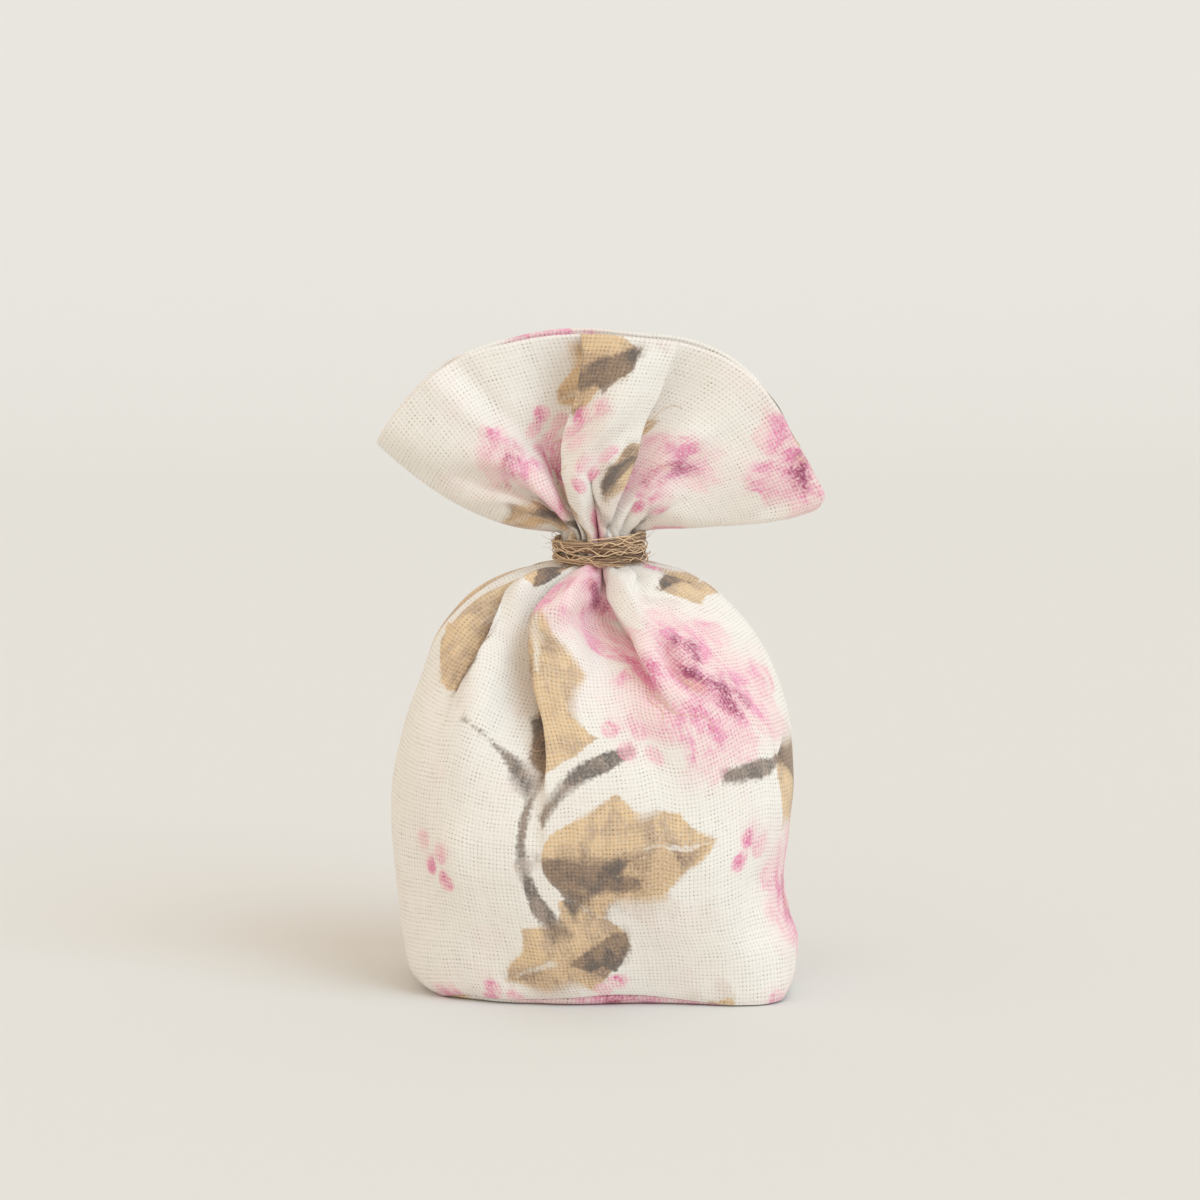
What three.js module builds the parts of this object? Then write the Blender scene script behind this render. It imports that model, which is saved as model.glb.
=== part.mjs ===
// A small pouch of printed linen, filled, gathered at the neck and tied with jute twine.
// Lengths are millimetres, +Z is up and the front looks towards -Y. The origin is on the floor,
// under the middle of the pouch.
import * as THREE from "three";

// Cloth
const clothThickness = 0.5;
const gatheredThickness = 3; // the pleats pack against each other inside the tie
const hemThickness = 1.0; // the mouth is turned in down to the tie, so the ruffle is double
const seamGap = 0.3; // between two pieces of cloth that are sewn together
const fillClearance = 0.4;
const fillTopShare = 0.73; // of the body's height, where the filling starts to round over

// Tie: jute twine wound round the neck and closed with a reef knot at the back
const twineDiameter = 1.6;
const turnCount = 3;
const turnGap = 0.55;
const tieMiddleHeight = 85.2;
const tieMargin = 0.4; // free neck above and below the winding
const tieClearance = 0.3;
const knotClearance = 0.45; // between the knot and the turns under it
const knotStep = 0.9; // between the rings of its facets, in the knot and the tails
const neckRadius = 7.2;

// Body, from the base seam up to the tie
const bodyLeft = 40.2; // from the neck's axis to the widest point on each side
const bodyRight = 37.9;
const bodyDepth = 30; // from the axis to the front, and to the back
const baseRise = 1.5; // the base panel's rim stands this far off the floor
const baseRimWidth = 2.4;
const cornerPowerLeft = 2.9; // of the base's superellipse: 2 is an ellipse, more is squarer
const cornerPowerRight = 3.5;
const neckPower = 2;

// Ruffle: the cloth that stands above the tie, measured along the cloth
const ruffleLength = 40.5; // at its longest
const ruffleBulge = 9; // how far the front stands out from the middle of the ruffle
// Angles from the upright of the ruffle's side edges: at the tie, half way out and at the corner
const leftEdgeAngles = [78, 66, 49];
const rightEdgeAngles = [56, 86, 72];

// Pleats: fine ones from the tie, which die away within these distances along the cloth
const pleatCount = 7; // on the front, and as many on the back
const pleatDepth = 3;
const pleatReachBody = 9;
const pleatReachRuffle = 8;
const foldDepth = 6; // of the deepest fold below the full form

// How far the mouth's edge stands from the tie: a place between the side seams, then the share of
// the ruffle's length there.
const ruffleReachShares = [
  [0, 0.99], [0.1, 0.99], [0.22, 1], [0.32, 0.965], [0.42, 0.95], [0.5, 0.945], [0.6, 0.965],
  [0.66, 0.97], [0.72, 0.96], [0.8, 0.91], [0.86, 0.87], [0.93, 0.875], [1, 0.915],
];

// Deep folds that run out from the tie, as shares. Each pair starts with the distance from the tie
// in ruffle lengths. at and width are shares of the panel between its left and right seams as seen
// from the front, and depth is of the deepest fold. A fold that faces a side drops there from its
// ridge and comes back slowly. One that faces neither is a plain trough.
const foldShares = {
  front: {
    body: [
      {
        facing: -1,
        at: [[0, 0.27], [0.17, 0.209], [0.4, 0.248], [0.7, 0.22], [0.9, 0.2]],
        width: [[0, 0.07], [0.5, 0.13], [0.9, 0.16]],
        depth: [[0, 0], [0.08, 0.4], [0.32, 0.66], [0.5, 0.46], [0.7, 0.2], [0.94, 0]],
      },
      {
        facing: -1,
        at: [[0, 0.4], [0.1, 0.382], [0.3, 0.37], [0.75, 0.405], [1.5, 0.43]],
        width: [[0, 0.07], [0.2, 0.11], [0.5, 0.13], [1.1, 0.15]],
        depth: [[0, 0], [0.08, 0.5], [0.35, 1], [0.6, 1], [0.85, 0.8], [1.15, 0.4], [1.6, 0]],
      },
      {
        facing: 1,
        at: [[0, 0.523], [0.27, 0.457], [0.54, 0.414]],
        width: [[0, 0.06], [0.54, 0.09]],
        depth: [[0, 0], [0.08, 0.35], [0.2, 0.46], [0.35, 0.36], [0.5, 0.13], [0.64, 0]],
      },
      {
        facing: 0,
        at: [[0, 0.53], [0.2, 0.505], [0.9, 0.509], [1.4, 0.515]],
        width: [[0, 0.07], [0.3, 0.09], [0.75, 0.11], [1.4, 0.14]],
        depth: [[0, 0], [0.1, 0.5], [0.3, 0.73], [0.6, 0.67], [0.94, 0.4], [1.5, 0]],
      },
      {
        facing: -1,
        at: [[0, 0.55], [0.27, 0.552], [0.5, 0.568], [0.85, 0.605]],
        width: [[0, 0.05], [0.85, 0.06]],
        depth: [[0, 0], [0.1, 0.6], [0.3, 0.77], [0.45, 0.6], [0.67, 0.33], [0.85, 0]],
      },
    ],
    ruffle: [
      {
        facing: 0,
        at: [[0, 0.31], [0.15, 0.335], [0.3, 0.335], [0.42, 0.31], [0.6, 0.285], [1, 0.28]],
        width: [[0, 0.05], [0.2, 0.07], [0.4, 0.1], [0.6, 0.13], [1, 0.15]],
        depth: [[0, 0], [0.08, 0.4], [0.2, 0.6], [0.4, 0.66], [0.7, 0.6], [1, 0.47]],
      },
      {
        facing: -1,
        at: [[0, 0.414], [0.13, 0.39], [0.45, 0.39], [0.62, 0.424], [0.75, 0.435], [1, 0.422]],
        width: [[0, 0.05], [0.22, 0.07], [0.4, 0.11], [0.6, 0.16], [1, 0.2]],
        depth: [[0, 0], [0.08, 0.5], [0.22, 0.83], [0.5, 1], [0.75, 1], [1, 0.77]],
      },
      {
        facing: 1,
        at: [[0, 0.545], [0.17, 0.598], [0.35, 0.607], [0.67, 0.585], [1, 0.573]],
        width: [[0, 0.05], [0.25, 0.1], [0.55, 0.14], [1, 0.17]],
        depth: [[0, 0], [0.08, 0.5], [0.25, 0.7], [0.5, 0.7], [0.75, 0.57], [1, 0.43]],
      },
      {
        facing: 0,
        at: [[0, 0.24], [0.17, 0.245], [0.25, 0.225], [0.42, 0.16], [0.7, 0.09]],
        width: [[0, 0.05], [0.25, 0.08], [0.7, 0.1]],
        depth: [[0, 0], [0.08, 0.3], [0.2, 0.42], [0.33, 0.42], [0.45, 0.27], [0.64, 0]],
      },
    ],
  },
  back: {
    body: [
      {
        facing: 0,
        at: [[0, 0.16], [0.5, 0.12]],
        width: [[0, 0.06], [0.5, 0.08]],
        depth: [[0, 0], [0.12, 0.4], [0.35, 0.4], [0.74, 0]],
      },
      {
        facing: 1,
        at: [[0, 0.33], [0.25, 0.29], [0.9, 0.26]],
        width: [[0, 0.07], [0.9, 0.15]],
        depth: [[0, 0], [0.12, 0.5], [0.4, 0.77], [0.74, 0.47], [1.23, 0]],
      },
      {
        facing: 0,
        at: [[0, 0.5], [0.5, 0.47], [1, 0.46]],
        width: [[0, 0.06], [0.74, 0.11]],
        depth: [[0, 0], [0.12, 0.47], [0.4, 0.7], [0.84, 0.37], [1.33, 0]],
      },
      {
        facing: -1,
        at: [[0, 0.68], [0.25, 0.69], [0.9, 0.7]],
        width: [[0, 0.07], [0.9, 0.16]],
        depth: [[0, 0], [0.12, 0.5], [0.37, 0.8], [0.7, 0.5], [1.18, 0]],
      },
      {
        facing: 0,
        at: [[0, 0.84], [0.5, 0.88]],
        width: [[0, 0.06], [0.5, 0.08]],
        depth: [[0, 0], [0.12, 0.37], [0.35, 0.37], [0.67, 0]],
      },
    ],
    ruffle: [
      {
        facing: 1,
        at: [[0, 0.3], [0.35, 0.27], [1, 0.24]],
        width: [[0, 0.07], [0.35, 0.13], [1, 0.2]],
        depth: [[0, 0], [0.1, 0.5], [0.35, 0.73], [1, 0.5]],
      },
      {
        facing: 0,
        at: [[0, 0.52], [0.5, 0.5], [1, 0.52]],
        width: [[0, 0.06], [0.5, 0.09], [1, 0.12]],
        depth: [[0, 0], [0.1, 0.47], [0.4, 0.57], [1, 0.33]],
      },
      {
        facing: -1,
        at: [[0, 0.68], [0.35, 0.71], [1, 0.76]],
        width: [[0, 0.07], [0.35, 0.12], [1, 0.18]],
        depth: [[0, 0], [0.1, 0.5], [0.35, 0.73], [1, 0.47]],
      },
    ],
  },
};
const edgeDropShare = 0.35; // of a fold's width, from its ridge to its foot, and
const leastDropShare = 0.065; // of the panel at least
const edgeReturnPower = 1.6;
const sewnShare = 0.04; // of the panel, next to each seam, where the folds die away

// The body's outline in shares: height of the neck's lower end, then left and right half widths and
// half depth of the widths above.
const bodyProfileShares = [
  [0.022, 0.886, 0.975, 0.82],
  [0.061, 0.915, 0.994, 0.85],
  [0.119, 0.94, 1, 0.893],
  [0.183, 0.965, 0.952, 0.933],
  [0.257, 0.985, 0.935, 0.973],
  [0.367, 1, 0.963, 1],
  [0.489, 0.988, 0.979, 0.987],
  [0.55, 0.969, 0.974, 0.964],
  [0.611, 0.943, 0.963, 0.933],
  [0.672, 0.906, 0.937, 0.892],
  [0.733, 0.858, 0.9, 0.84],
  [0.784, 0.811, 0.85, 0.783],
  [0.831, 0.756, 0.79, 0.717],
  [0.868, 0.696, 0.731, 0.651],
  [0.904, 0.622, 0.66, 0.573],
  [0.931, 0.555, 0.6, 0.515],
  [0.955, 0.478, 0.528, 0.447],
  [0.987, 0.318, 0.348, 0.327],
];

// Fineness of the faceted surfaces
const columns = 52;
const ruffleRows = 12;
const twineSides = 6;
const stepsPerTurn = 24;

const windingPitch = twineDiameter + turnGap;
const windingHeight = turnCount * twineDiameter + (turnCount - 1) * turnGap;
const windingRadius = neckRadius + tieClearance + twineDiameter / 2;
const neckBottom = tieMiddleHeight - windingHeight / 2 - tieMargin;
const neckTop = tieMiddleHeight + windingHeight / 2 + tieMargin;

const smooth = (t) => {
  const c = THREE.MathUtils.clamp(t, 0, 1);
  return c * c * (3 - 2 * c);
};
// A table's value at a place, on the straight line between its two nearest entries
function tableValue(table, place) {
  const next = table.findIndex(([entry]) => entry >= place);
  if (next === 0) return table[0][1];
  if (next < 0) return table[table.length - 1][1];
  const [[start, from], [end, to]] = table.slice(next - 1, next + 1);
  return from + ((to - from) * (place - start)) / (end - start);
}
// The curve through three values at q = 0, a half and 1
const through = ([a, b, c], q) =>
  a * (1 - q) * (1 - 2 * q) + 4 * b * q * (1 - q) + c * q * (2 * q - 1);

// Rows of the cloth, from the base seam to the mouth. Each says what part it is in, how far along,
// and its distance from the tie along the cloth.
const bodyRows = bodyProfileShares.map(([height, left, right, depth], index) => ({
  part: "body",
  index,
  height: height * neckBottom,
  left: left * bodyLeft,
  right: right * bodyRight,
  depth: depth * bodyDepth,
}));
const neckRow = (height) => ({
  part: "neck", height, left: neckRadius, right: neckRadius, depth: neckRadius,
});
const ruffleRowList = Array.from({ length: ruffleRows }, (_, i) => ({
  part: "ruffle", share: (i + 1) / ruffleRows,
}));
const rows = [...bodyRows, neckRow(neckBottom), neckRow(neckTop), ...ruffleRowList];

// Distance from the tie along the front's middle line, for the body's rows
let along = 0;
for (let i = bodyRows.length - 1; i >= 0; i--) {
  const above = i === bodyRows.length - 1 ? neckRow(neckBottom) : bodyRows[i + 1];
  along += Math.hypot(above.height - bodyRows[i].height, above.depth - bodyRows[i].depth);
  bodyRows[i].fromTie = along;
}

// A point of the smooth form that the ridges of the cloth touch, on the front or the back.
// share runs from the left seam, 0, to the right seam, 1.
function formPoint(side, share, row) {
  const sign = side === "front" ? -1 : 1;
  const turn = Math.PI * (share - 0.5);
  if (row.part === "ruffle") return rufflePoint(sign, share, row.share);
  const low = 1 - row.height / neckBottom;
  const corner = turn < 0 ? cornerPowerLeft : cornerPowerRight;
  const power = neckPower + (corner - neckPower) * Math.max(low, 0);
  const across = Math.sign(turn) * Math.abs(Math.sin(turn)) ** (2 / power);
  const out = Math.max(Math.cos(turn), 0) ** (2 / power);
  const halfWidth = turn < 0 ? row.left : row.right;
  return new THREE.Vector3(halfWidth * across, sign * row.depth * out, row.height);
}

// The ruffle fans out of the neck: each line of the cloth leaves the tie at its own angle.
function rufflePoint(sign, share, end) {
  const turn = Math.PI * (share - 0.5);
  const length = ruffleLength * tableValue(ruffleReachShares, share);
  const steps = Math.max(Math.round(end * ruffleRows), 1);
  let x = neckRadius * Math.sin(turn);
  let z = neckTop;
  for (let i = 0; i < steps; i++) {
    const q = ((i + 0.5) / steps) * end;
    const left = -through(leftEdgeAngles, q);
    const right = through(rightEdgeAngles, q);
    const angle = THREE.MathUtils.degToRad(left + (right - left) * share);
    x += (Math.sin(angle) * length * end) / steps;
    z += (Math.cos(angle) * length * end) / steps;
  }
  const flat = smooth(end / 0.3);
  const round = neckRadius * Math.cos(turn);
  const lens = ruffleBulge * Math.sin(Math.PI * share) ** 0.6 * (1 - 0.25 * end);
  const y = round * (1 - flat) + (lens + hemThickness) * flat;
  return new THREE.Vector3(x, sign * y, z);
}

// How far the cloth lies below that form: the fine pleats and the deep folds
function tuckDepth(side, share, row) {
  const pleat = (1 - Math.cos(2 * Math.PI * pleatCount * share)) / 2;
  if (row.part === "neck") return pleatDepth * pleat;
  const inBody = row.part === "body";
  const fromTie = inBody ? row.fromTie : row.share * ruffleLength;
  const reach = inBody ? pleatReachBody : pleatReachRuffle;
  let depth = pleatDepth * pleat * (1 - smooth(fromTie / reach));
  for (const fold of foldShares[side][row.part]) {
    const away = fromTie / ruffleLength;
    const facing = fold.facing || 1;
    const width = tableValue(fold.width, away);
    const place = ((share - tableValue(fold.at, away)) / width) * facing;
    const drop = Math.max(edgeDropShare, leastDropShare / width);
    let section;
    if (fold.facing === 0) section = (1 + Math.cos(Math.PI * Math.min(Math.abs(place), 1))) / 2;
    else if (place > 0) section = Math.max(1 - place, 0) ** edgeReturnPower;
    else section = smooth(1 + place / drop);
    depth += foldDepth * tableValue(fold.depth, away) * section;
  }
  return depth * smooth(Math.min(share, 1 - share) / sewnShare);
}

function wallThickness(row) {
  if (row.part === "neck") return gatheredThickness;
  const fromTie = row.part === "body" ? row.fromTie : row.share * ruffleLength;
  const reach = row.part === "body" ? pleatReachBody : pleatReachRuffle;
  const thin = row.part === "body" ? clothThickness : hemThickness;
  return thin + (gatheredThickness - thin) * (1 - smooth(fromTie / reach));
}

// The form's outward direction at a point, from its neighbours on the form
function outward(side, share, rowIndex) {
  const step = 0.5 / columns;
  const before = formPoint(side, Math.max(share - step, 0), rows[rowIndex]);
  const after = formPoint(side, Math.min(share + step, 1), rows[rowIndex]);
  const below = formPoint(side, share, rows[Math.max(rowIndex - 1, 0)]);
  const above = formPoint(side, share, rows[Math.min(rowIndex + 1, rows.length - 1)]);
  const normal = after.sub(before).cross(above.sub(below)).normalize();
  return side === "front" ? normal : normal.negate();
}

// A point of the cloth, a given distance in from its outer face, kept on its own side of the seams
function clothPoint(side, share, rowIndex, inward) {
  const row = rows[rowIndex];
  const point = formPoint(side, share, row);
  const reach = tuckDepth(side, share, row) + inward;
  point.addScaledVector(outward(side, share, rowIndex), -reach);
  const sign = side === "front" ? -1 : 1;
  const ownThickness = row.part === "ruffle" ? wallThickness(row) * smooth(row.share / 0.3) : 0;
  const nearest = seamGap / 2 + Math.max(ownThickness - inward, 0);
  point.y = sign * Math.max(sign * point.y, nearest);
  return point;
}

// A closed sheet from two skins, each a grid of points with the same rows and columns. Each square
// of the grid is split along its shorter diagonal, which follows the folds.
function sheetGeometry(outer, inner) {
  const rowCount = outer.length;
  const columnCount = outer[0].length;
  const points = [...outer.flat(), ...inner.flat()];
  const innerStart = rowCount * columnCount;
  const at = (row, column) => row * columnCount + column;
  const index = [];
  const quad = (a, b, c, d) => {
    if (points[a].distanceTo(points[c]) <= points[b].distanceTo(points[d])) {
      index.push(a, b, c, a, c, d);
    } else index.push(a, b, d, b, c, d);
  };
  for (let r = 0; r < rowCount - 1; r++)
    for (let c = 0; c < columnCount - 1; c++) {
      quad(at(r, c), at(r, c + 1), at(r + 1, c + 1), at(r + 1, c));
      quad(innerStart + at(r, c), innerStart + at(r + 1, c),
        innerStart + at(r + 1, c + 1), innerStart + at(r, c + 1));
    }
  const border = [];
  for (let c = 0; c < columnCount - 1; c++) border.push(at(0, c));
  for (let r = 0; r < rowCount - 1; r++) border.push(at(r, columnCount - 1));
  for (let c = columnCount - 1; c > 0; c--) border.push(at(rowCount - 1, c));
  for (let r = rowCount - 1; r > 0; r--) border.push(at(r, 0));
  border.forEach((a, i) => {
    const b = border[(i + 1) % border.length];
    quad(b, a, innerStart + a, innerStart + b);
  });
  const geometry = new THREE.BufferGeometry();
  const positions = points.flatMap((p) => [p.x, p.y, p.z]);
  geometry.setAttribute("position", new THREE.Float32BufferAttribute(positions, 3));
  geometry.setIndex(index);
  return geometry;
}

function panelGeometry(side) {
  const skin = (inwardOf) =>
    rows.map((row, r) =>
      Array.from({ length: columns + 1 }, (_, c) => {
        const share = side === "front" ? c / columns : 1 - c / columns;
        return clothPoint(side, share, r, inwardOf(row));
      }));
  return sheetGeometry(skin(() => 0), skin(wallThickness));
}

// A closed solid from rings of points, fanned shut to a point at each end
function ringedSolid(rings, firstCentre, lastCentre) {
  const count = rings[0].length;
  const positions = [firstCentre, ...rings.flat(), lastCentre].flatMap((p) => [p.x, p.y, p.z]);
  const at = (ring, i) => 1 + ring * count + (i % count);
  const last = 1 + rings.length * count;
  const index = [];
  for (let i = 0; i < count; i++) {
    index.push(0, at(0, i + 1), at(0, i));
    index.push(last, at(rings.length - 1, i), at(rings.length - 1, i + 1));
    for (let r = 0; r < rings.length - 1; r++) {
      index.push(at(r, i), at(r, i + 1), at(r + 1, i + 1));
      index.push(at(r, i), at(r + 1, i + 1), at(r + 1, i));
    }
  }
  const geometry = new THREE.BufferGeometry();
  geometry.setAttribute("position", new THREE.Float32BufferAttribute(positions, 3));
  geometry.setIndex(index);
  return geometry;
}

// The whole ring of the cloth at one row, a given distance in from its outer face
function clothRing(rowIndex, inward) {
  const ring = [];
  for (let c = 0; c < columns; c++) ring.push(clothPoint("front", c / columns, rowIndex, inward));
  for (let c = 0; c < columns; c++) ring.push(clothPoint("back", 1 - c / columns, rowIndex, inward));
  return ring;
}

// A ring drawn in towards the axis and set at one height
const shrunk = (ring, inset, height) =>
  ring.map((p) => {
    const radius = Math.hypot(p.x, p.y);
    return new THREE.Vector3(p.x * (1 - inset / radius), p.y * (1 - inset / radius), height);
  });

// The base is a shallow dish: flat on the floor, with its rim turned up to the seam.
function baseGeometry() {
  const seam = clothRing(0, 0);
  return ringedSolid(
    [
      shrunk(seam, baseRimWidth, 0),
      shrunk(seam, baseRimWidth / 3, baseRise / 3),
      shrunk(seam, 0, baseRise),
      shrunk(seam, clothThickness, baseRise),
      shrunk(seam, clothThickness + baseRimWidth / 3, clothThickness + baseRise / 3),
      shrunk(seam, clothThickness + baseRimWidth, clothThickness),
    ],
    new THREE.Vector3(0, 0, 0),
    new THREE.Vector3(0, 0, clothThickness),
  );
}

// The dried filling lies against the cloth, heaped up to the shoulder
function fillingGeometry() {
  const topRow = bodyRows.findIndex((row) => row.height >= fillTopShare * neckBottom);
  const floor = clothThickness + fillClearance;
  const inset = clothThickness + fillClearance + baseRimWidth;
  const rings = [shrunk(clothRing(0, 0), inset, floor)];
  for (let r = 1; r <= topRow; r++) rings.push(clothRing(r, wallThickness(rows[r]) + fillClearance));
  const top = rings[rings.length - 1];
  const heap = neckBottom - rows[topRow].height;
  rings.push(shrunk(top, heap / 3, rows[topRow].height + heap / 5));
  return ringedSolid(
    rings,
    new THREE.Vector3(0, 0, floor),
    new THREE.Vector3(0, 0, rows[topRow].height + heap / 4),
  );
}

// The twine is one length: a tail, half of the reef knot, three turns round the neck, the knot's
// other half and the other tail. The knot is at the back, over the turns.
const knotHalfDepth = 1.35; // in twine diameters
const knotMiddleDepth =
  windingRadius + twineDiameter / 2 + knotClearance + knotHalfDepth * twineDiameter;

// Places of the twine's two ends, in twine diameters: across to +X, up, and out from the knot's
// middle. Each end leaves the winding, makes one bight of the reef knot and droops as a tail.
const leftLeaveShares = [
  [-4.2, -1.3, -3.5],
  [-4, -1.22, -2.4],
  [-3.95, -0.85, -1.45],
  [-3.9, -0.1, -0.6],
  [-3.6, 0.5, 0.2],
  [-3, 0.76, 0.62],
];
// The left bight, down to its closed end. It comes back the same way below, and the right bight is
// the same turned half a turn about the upright.
const halfBightShares = [
  [-2.2, 0.8, 0.7],
  [-1.4, 0.85, 0.3],
  [-0.7, 1.1, -0.4],
  [0, 1.6, -0.85],
  [0.7, 2.15, -0.48],
  [1.4, 2.3, 0.15],
  [2.15, 1.7, 0.64],
  [2.55, 0.8, 0.7],
];
const bightEndShares = [2.62, 0, 0.7];
const leftTailShares = [
  [-3, -1.05, 0.8],
  [-3.75, -1.75, 1.05],
  [-4.35, -2.7, 1.4],
  [-4.85, -3.8, 1.9],
  [-5.1, -5, 2.5],
];
const rightLeaveShares = [
  [4.15, 1.36, -3.5],
  [3.8, 1.34, -2.4],
  [3.4, 1.15, -1.6],
  [2.9, 0.9, -1],
];
const rightTailShares = [
  [3, -1.05, -0.5],
  [3.7, -1.75, 0],
  [4.2, -2.7, 0.7],
  [4.6, -3.8, 1.5],
  [4.8, -5, 2.3],
];
const leftBightShares = [
  ...halfBightShares,
  bightEndShares,
  ...halfBightShares.map(([across, up, out]) => [across, -up, out]).reverse(),
];
const leftEndShares = [...leftLeaveShares, ...leftBightShares, ...leftTailShares];
const rightEndShares = [
  ...rightLeaveShares,
  ...leftBightShares.map(([across, up, out]) => [-across, up, -out]),
  ...rightTailShares,
];

// Three turns as a formula. The winding lies level round the front and climbs from one turn to the
// next behind, under the knot. Its angle runs from the back's middle towards -X.
const leaveAngle = Math.PI / 3; // where its ends leave the neck for the knot
const climbAngle = Math.PI / 4.5; // the climbs lie this far to each side of the back's middle
function windingPoints() {
  const lowest = tieMiddleHeight - (windingPitch * (turnCount - 1)) / 2;
  const sweep = 2 * Math.PI * turnCount - 2 * leaveAngle;
  const steps = Math.round((sweep / (2 * Math.PI)) * stepsPerTurn);
  return Array.from({ length: steps + 1 }, (_, i) => {
    const angle = leaveAngle + (sweep * i) / steps;
    const turn = Math.round(angle / (2 * Math.PI));
    const past = (angle - 2 * Math.PI * turn + climbAngle) / (2 * climbAngle);
    const climbing = turn > 0 && turn < turnCount;
    const level = THREE.MathUtils.clamp(turn - 1 + (climbing ? smooth(past) : 0), 0, turnCount - 1);
    return new THREE.Vector3(
      -windingRadius * Math.sin(angle),
      windingRadius * Math.cos(angle),
      lowest + windingPitch * level,
    );
  });
}

function twinePoints() {
  const place = ([across, up, out]) =>
    new THREE.Vector3(
      across * twineDiameter,
      knotMiddleDepth + out * twineDiameter,
      tieMiddleHeight + up * twineDiameter,
    );
  const winding = windingPoints();
  const end = (shares, turns) => {
    const curve = new THREE.CatmullRomCurve3([...turns, ...shares.map(place)], false, "centripetal");
    const points = curve.getSpacedPoints(Math.round(curve.getLength() / knotStep));
    const turnLength = turns[0].distanceTo(turns[1]);
    return points.slice(Math.ceil(turnLength / knotStep));
  };
  const left = end(leftEndShares, winding.slice(0, 2).reverse());
  const right = end(rightEndShares, winding.slice(-2));
  return [...left.reverse(), ...winding, ...right];
}

// A closed round tube through points, with a ring of its section square to the route at each
function tubeGeometry(points) {
  let across = new THREE.Vector3(0, 0, 1);
  const rings = points.map((point, i) => {
    const before = points[Math.max(i - 1, 0)];
    const after = points[Math.min(i + 1, points.length - 1)];
    const tangent = after.clone().sub(before).normalize();
    across = across.clone().addScaledVector(tangent, -across.dot(tangent)).normalize();
    const beside = tangent.clone().cross(across);
    return Array.from({ length: twineSides }, (_, k) => {
      const angle = (2 * Math.PI * k) / twineSides;
      return point
        .clone()
        .addScaledVector(across, (Math.cos(angle) * twineDiameter) / 2)
        .addScaledVector(beside, (Math.sin(angle) * twineDiameter) / 2);
    });
  });
  return ringedSolid(rings, points[0], points[points.length - 1]);
}

// The least gap between two stretches of the twine, neighbours along it left out
function leastGap(points) {
  const lengths = [0];
  for (let i = 1; i < points.length; i++)
    lengths.push(lengths[i - 1] + points[i].distanceTo(points[i - 1]));
  let least = Infinity;
  const segment = new THREE.Line3();
  const closest = new THREE.Vector3();
  for (let i = 0; i < points.length; i++)
    for (let j = 0; j < points.length - 1; j++) {
      if (Math.min(Math.abs(lengths[j] - lengths[i]), Math.abs(lengths[j + 1] - lengths[i])) <
        2.5 * twineDiameter) continue;
      segment.set(points[j], points[j + 1]).closestPointToPoint(points[i], true, closest);
      least = Math.min(least, closest.distanceTo(points[i]) - twineDiameter);
    }
  return { least, length: lengths[lengths.length - 1] };
}

const linen = () =>
  new THREE.MeshStandardMaterial({ color: 0xece6da, roughness: 0.92, metalness: 0 });
const jute = () =>
  new THREE.MeshStandardMaterial({ color: 0xa98a67, roughness: 0.95, metalness: 0 });
const driedFlowers = () =>
  new THREE.MeshStandardMaterial({ color: 0x8d7f8f, roughness: 1, metalness: 0 });

const pouch = new THREE.Group();
function add(name, geometry, material) {
  const mesh = new THREE.Mesh(geometry, material);
  mesh.name = name;
  pouch.add(mesh);
  return mesh;
}

add("front_panel", panelGeometry("front"), linen());
add("back_panel", panelGeometry("back"), linen());
add("base_panel", baseGeometry(), linen());
add("filling", fillingGeometry(), driedFlowers());

const twine = twinePoints();
add("tie_twine", tubeGeometry(twine), jute());
const measured = leastGap(twine);
console.log(`twine: ${measured.length.toFixed(1)} mm long, least gap to itself ` +
  `${measured.least.toFixed(2)} mm`);

// The origin is under the middle of the pouch's box.
const box = new THREE.Box3().setFromObject(pouch);
pouch.position.set(-(box.min.x + box.max.x) / 2, -(box.min.y + box.max.y) / 2, -box.min.z);

export default pouch;
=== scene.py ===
"""A small pouch of printed linen, filled, gathered at the neck and tied with jute twine."""

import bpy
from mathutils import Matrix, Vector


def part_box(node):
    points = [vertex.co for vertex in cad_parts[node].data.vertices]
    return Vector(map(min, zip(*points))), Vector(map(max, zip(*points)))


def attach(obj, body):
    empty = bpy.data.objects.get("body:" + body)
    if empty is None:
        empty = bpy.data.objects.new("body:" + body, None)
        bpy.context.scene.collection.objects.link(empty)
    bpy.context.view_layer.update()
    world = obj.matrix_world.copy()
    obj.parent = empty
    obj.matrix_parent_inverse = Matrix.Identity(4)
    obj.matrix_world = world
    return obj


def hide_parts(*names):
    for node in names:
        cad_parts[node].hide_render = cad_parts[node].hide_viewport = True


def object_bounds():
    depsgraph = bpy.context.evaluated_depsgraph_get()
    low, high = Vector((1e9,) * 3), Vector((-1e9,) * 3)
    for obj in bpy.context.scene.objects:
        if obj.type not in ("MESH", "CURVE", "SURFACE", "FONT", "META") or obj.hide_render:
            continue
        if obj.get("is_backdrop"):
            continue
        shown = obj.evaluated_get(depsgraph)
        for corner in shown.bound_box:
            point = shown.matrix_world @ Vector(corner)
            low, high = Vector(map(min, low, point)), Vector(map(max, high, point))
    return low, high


bl_info = {
    "name": "Gathered linen pouch",
    "version": (1, 0, 0),
    "blender": (4, 5, 0),
    "location": "View3D > Sidebar > Pouch",
    "description": "Makes a filled pouch of printed linen, gathered and tied with jute twine",
    "category": "Object",
}

from functools import partial, wraps
from math import cos, pi, radians, sin, tau

import bpy
import numpy as np
from bpy.props import FloatProperty, FloatVectorProperty, IntProperty, PointerProperty
from mathutils import Vector

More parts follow.
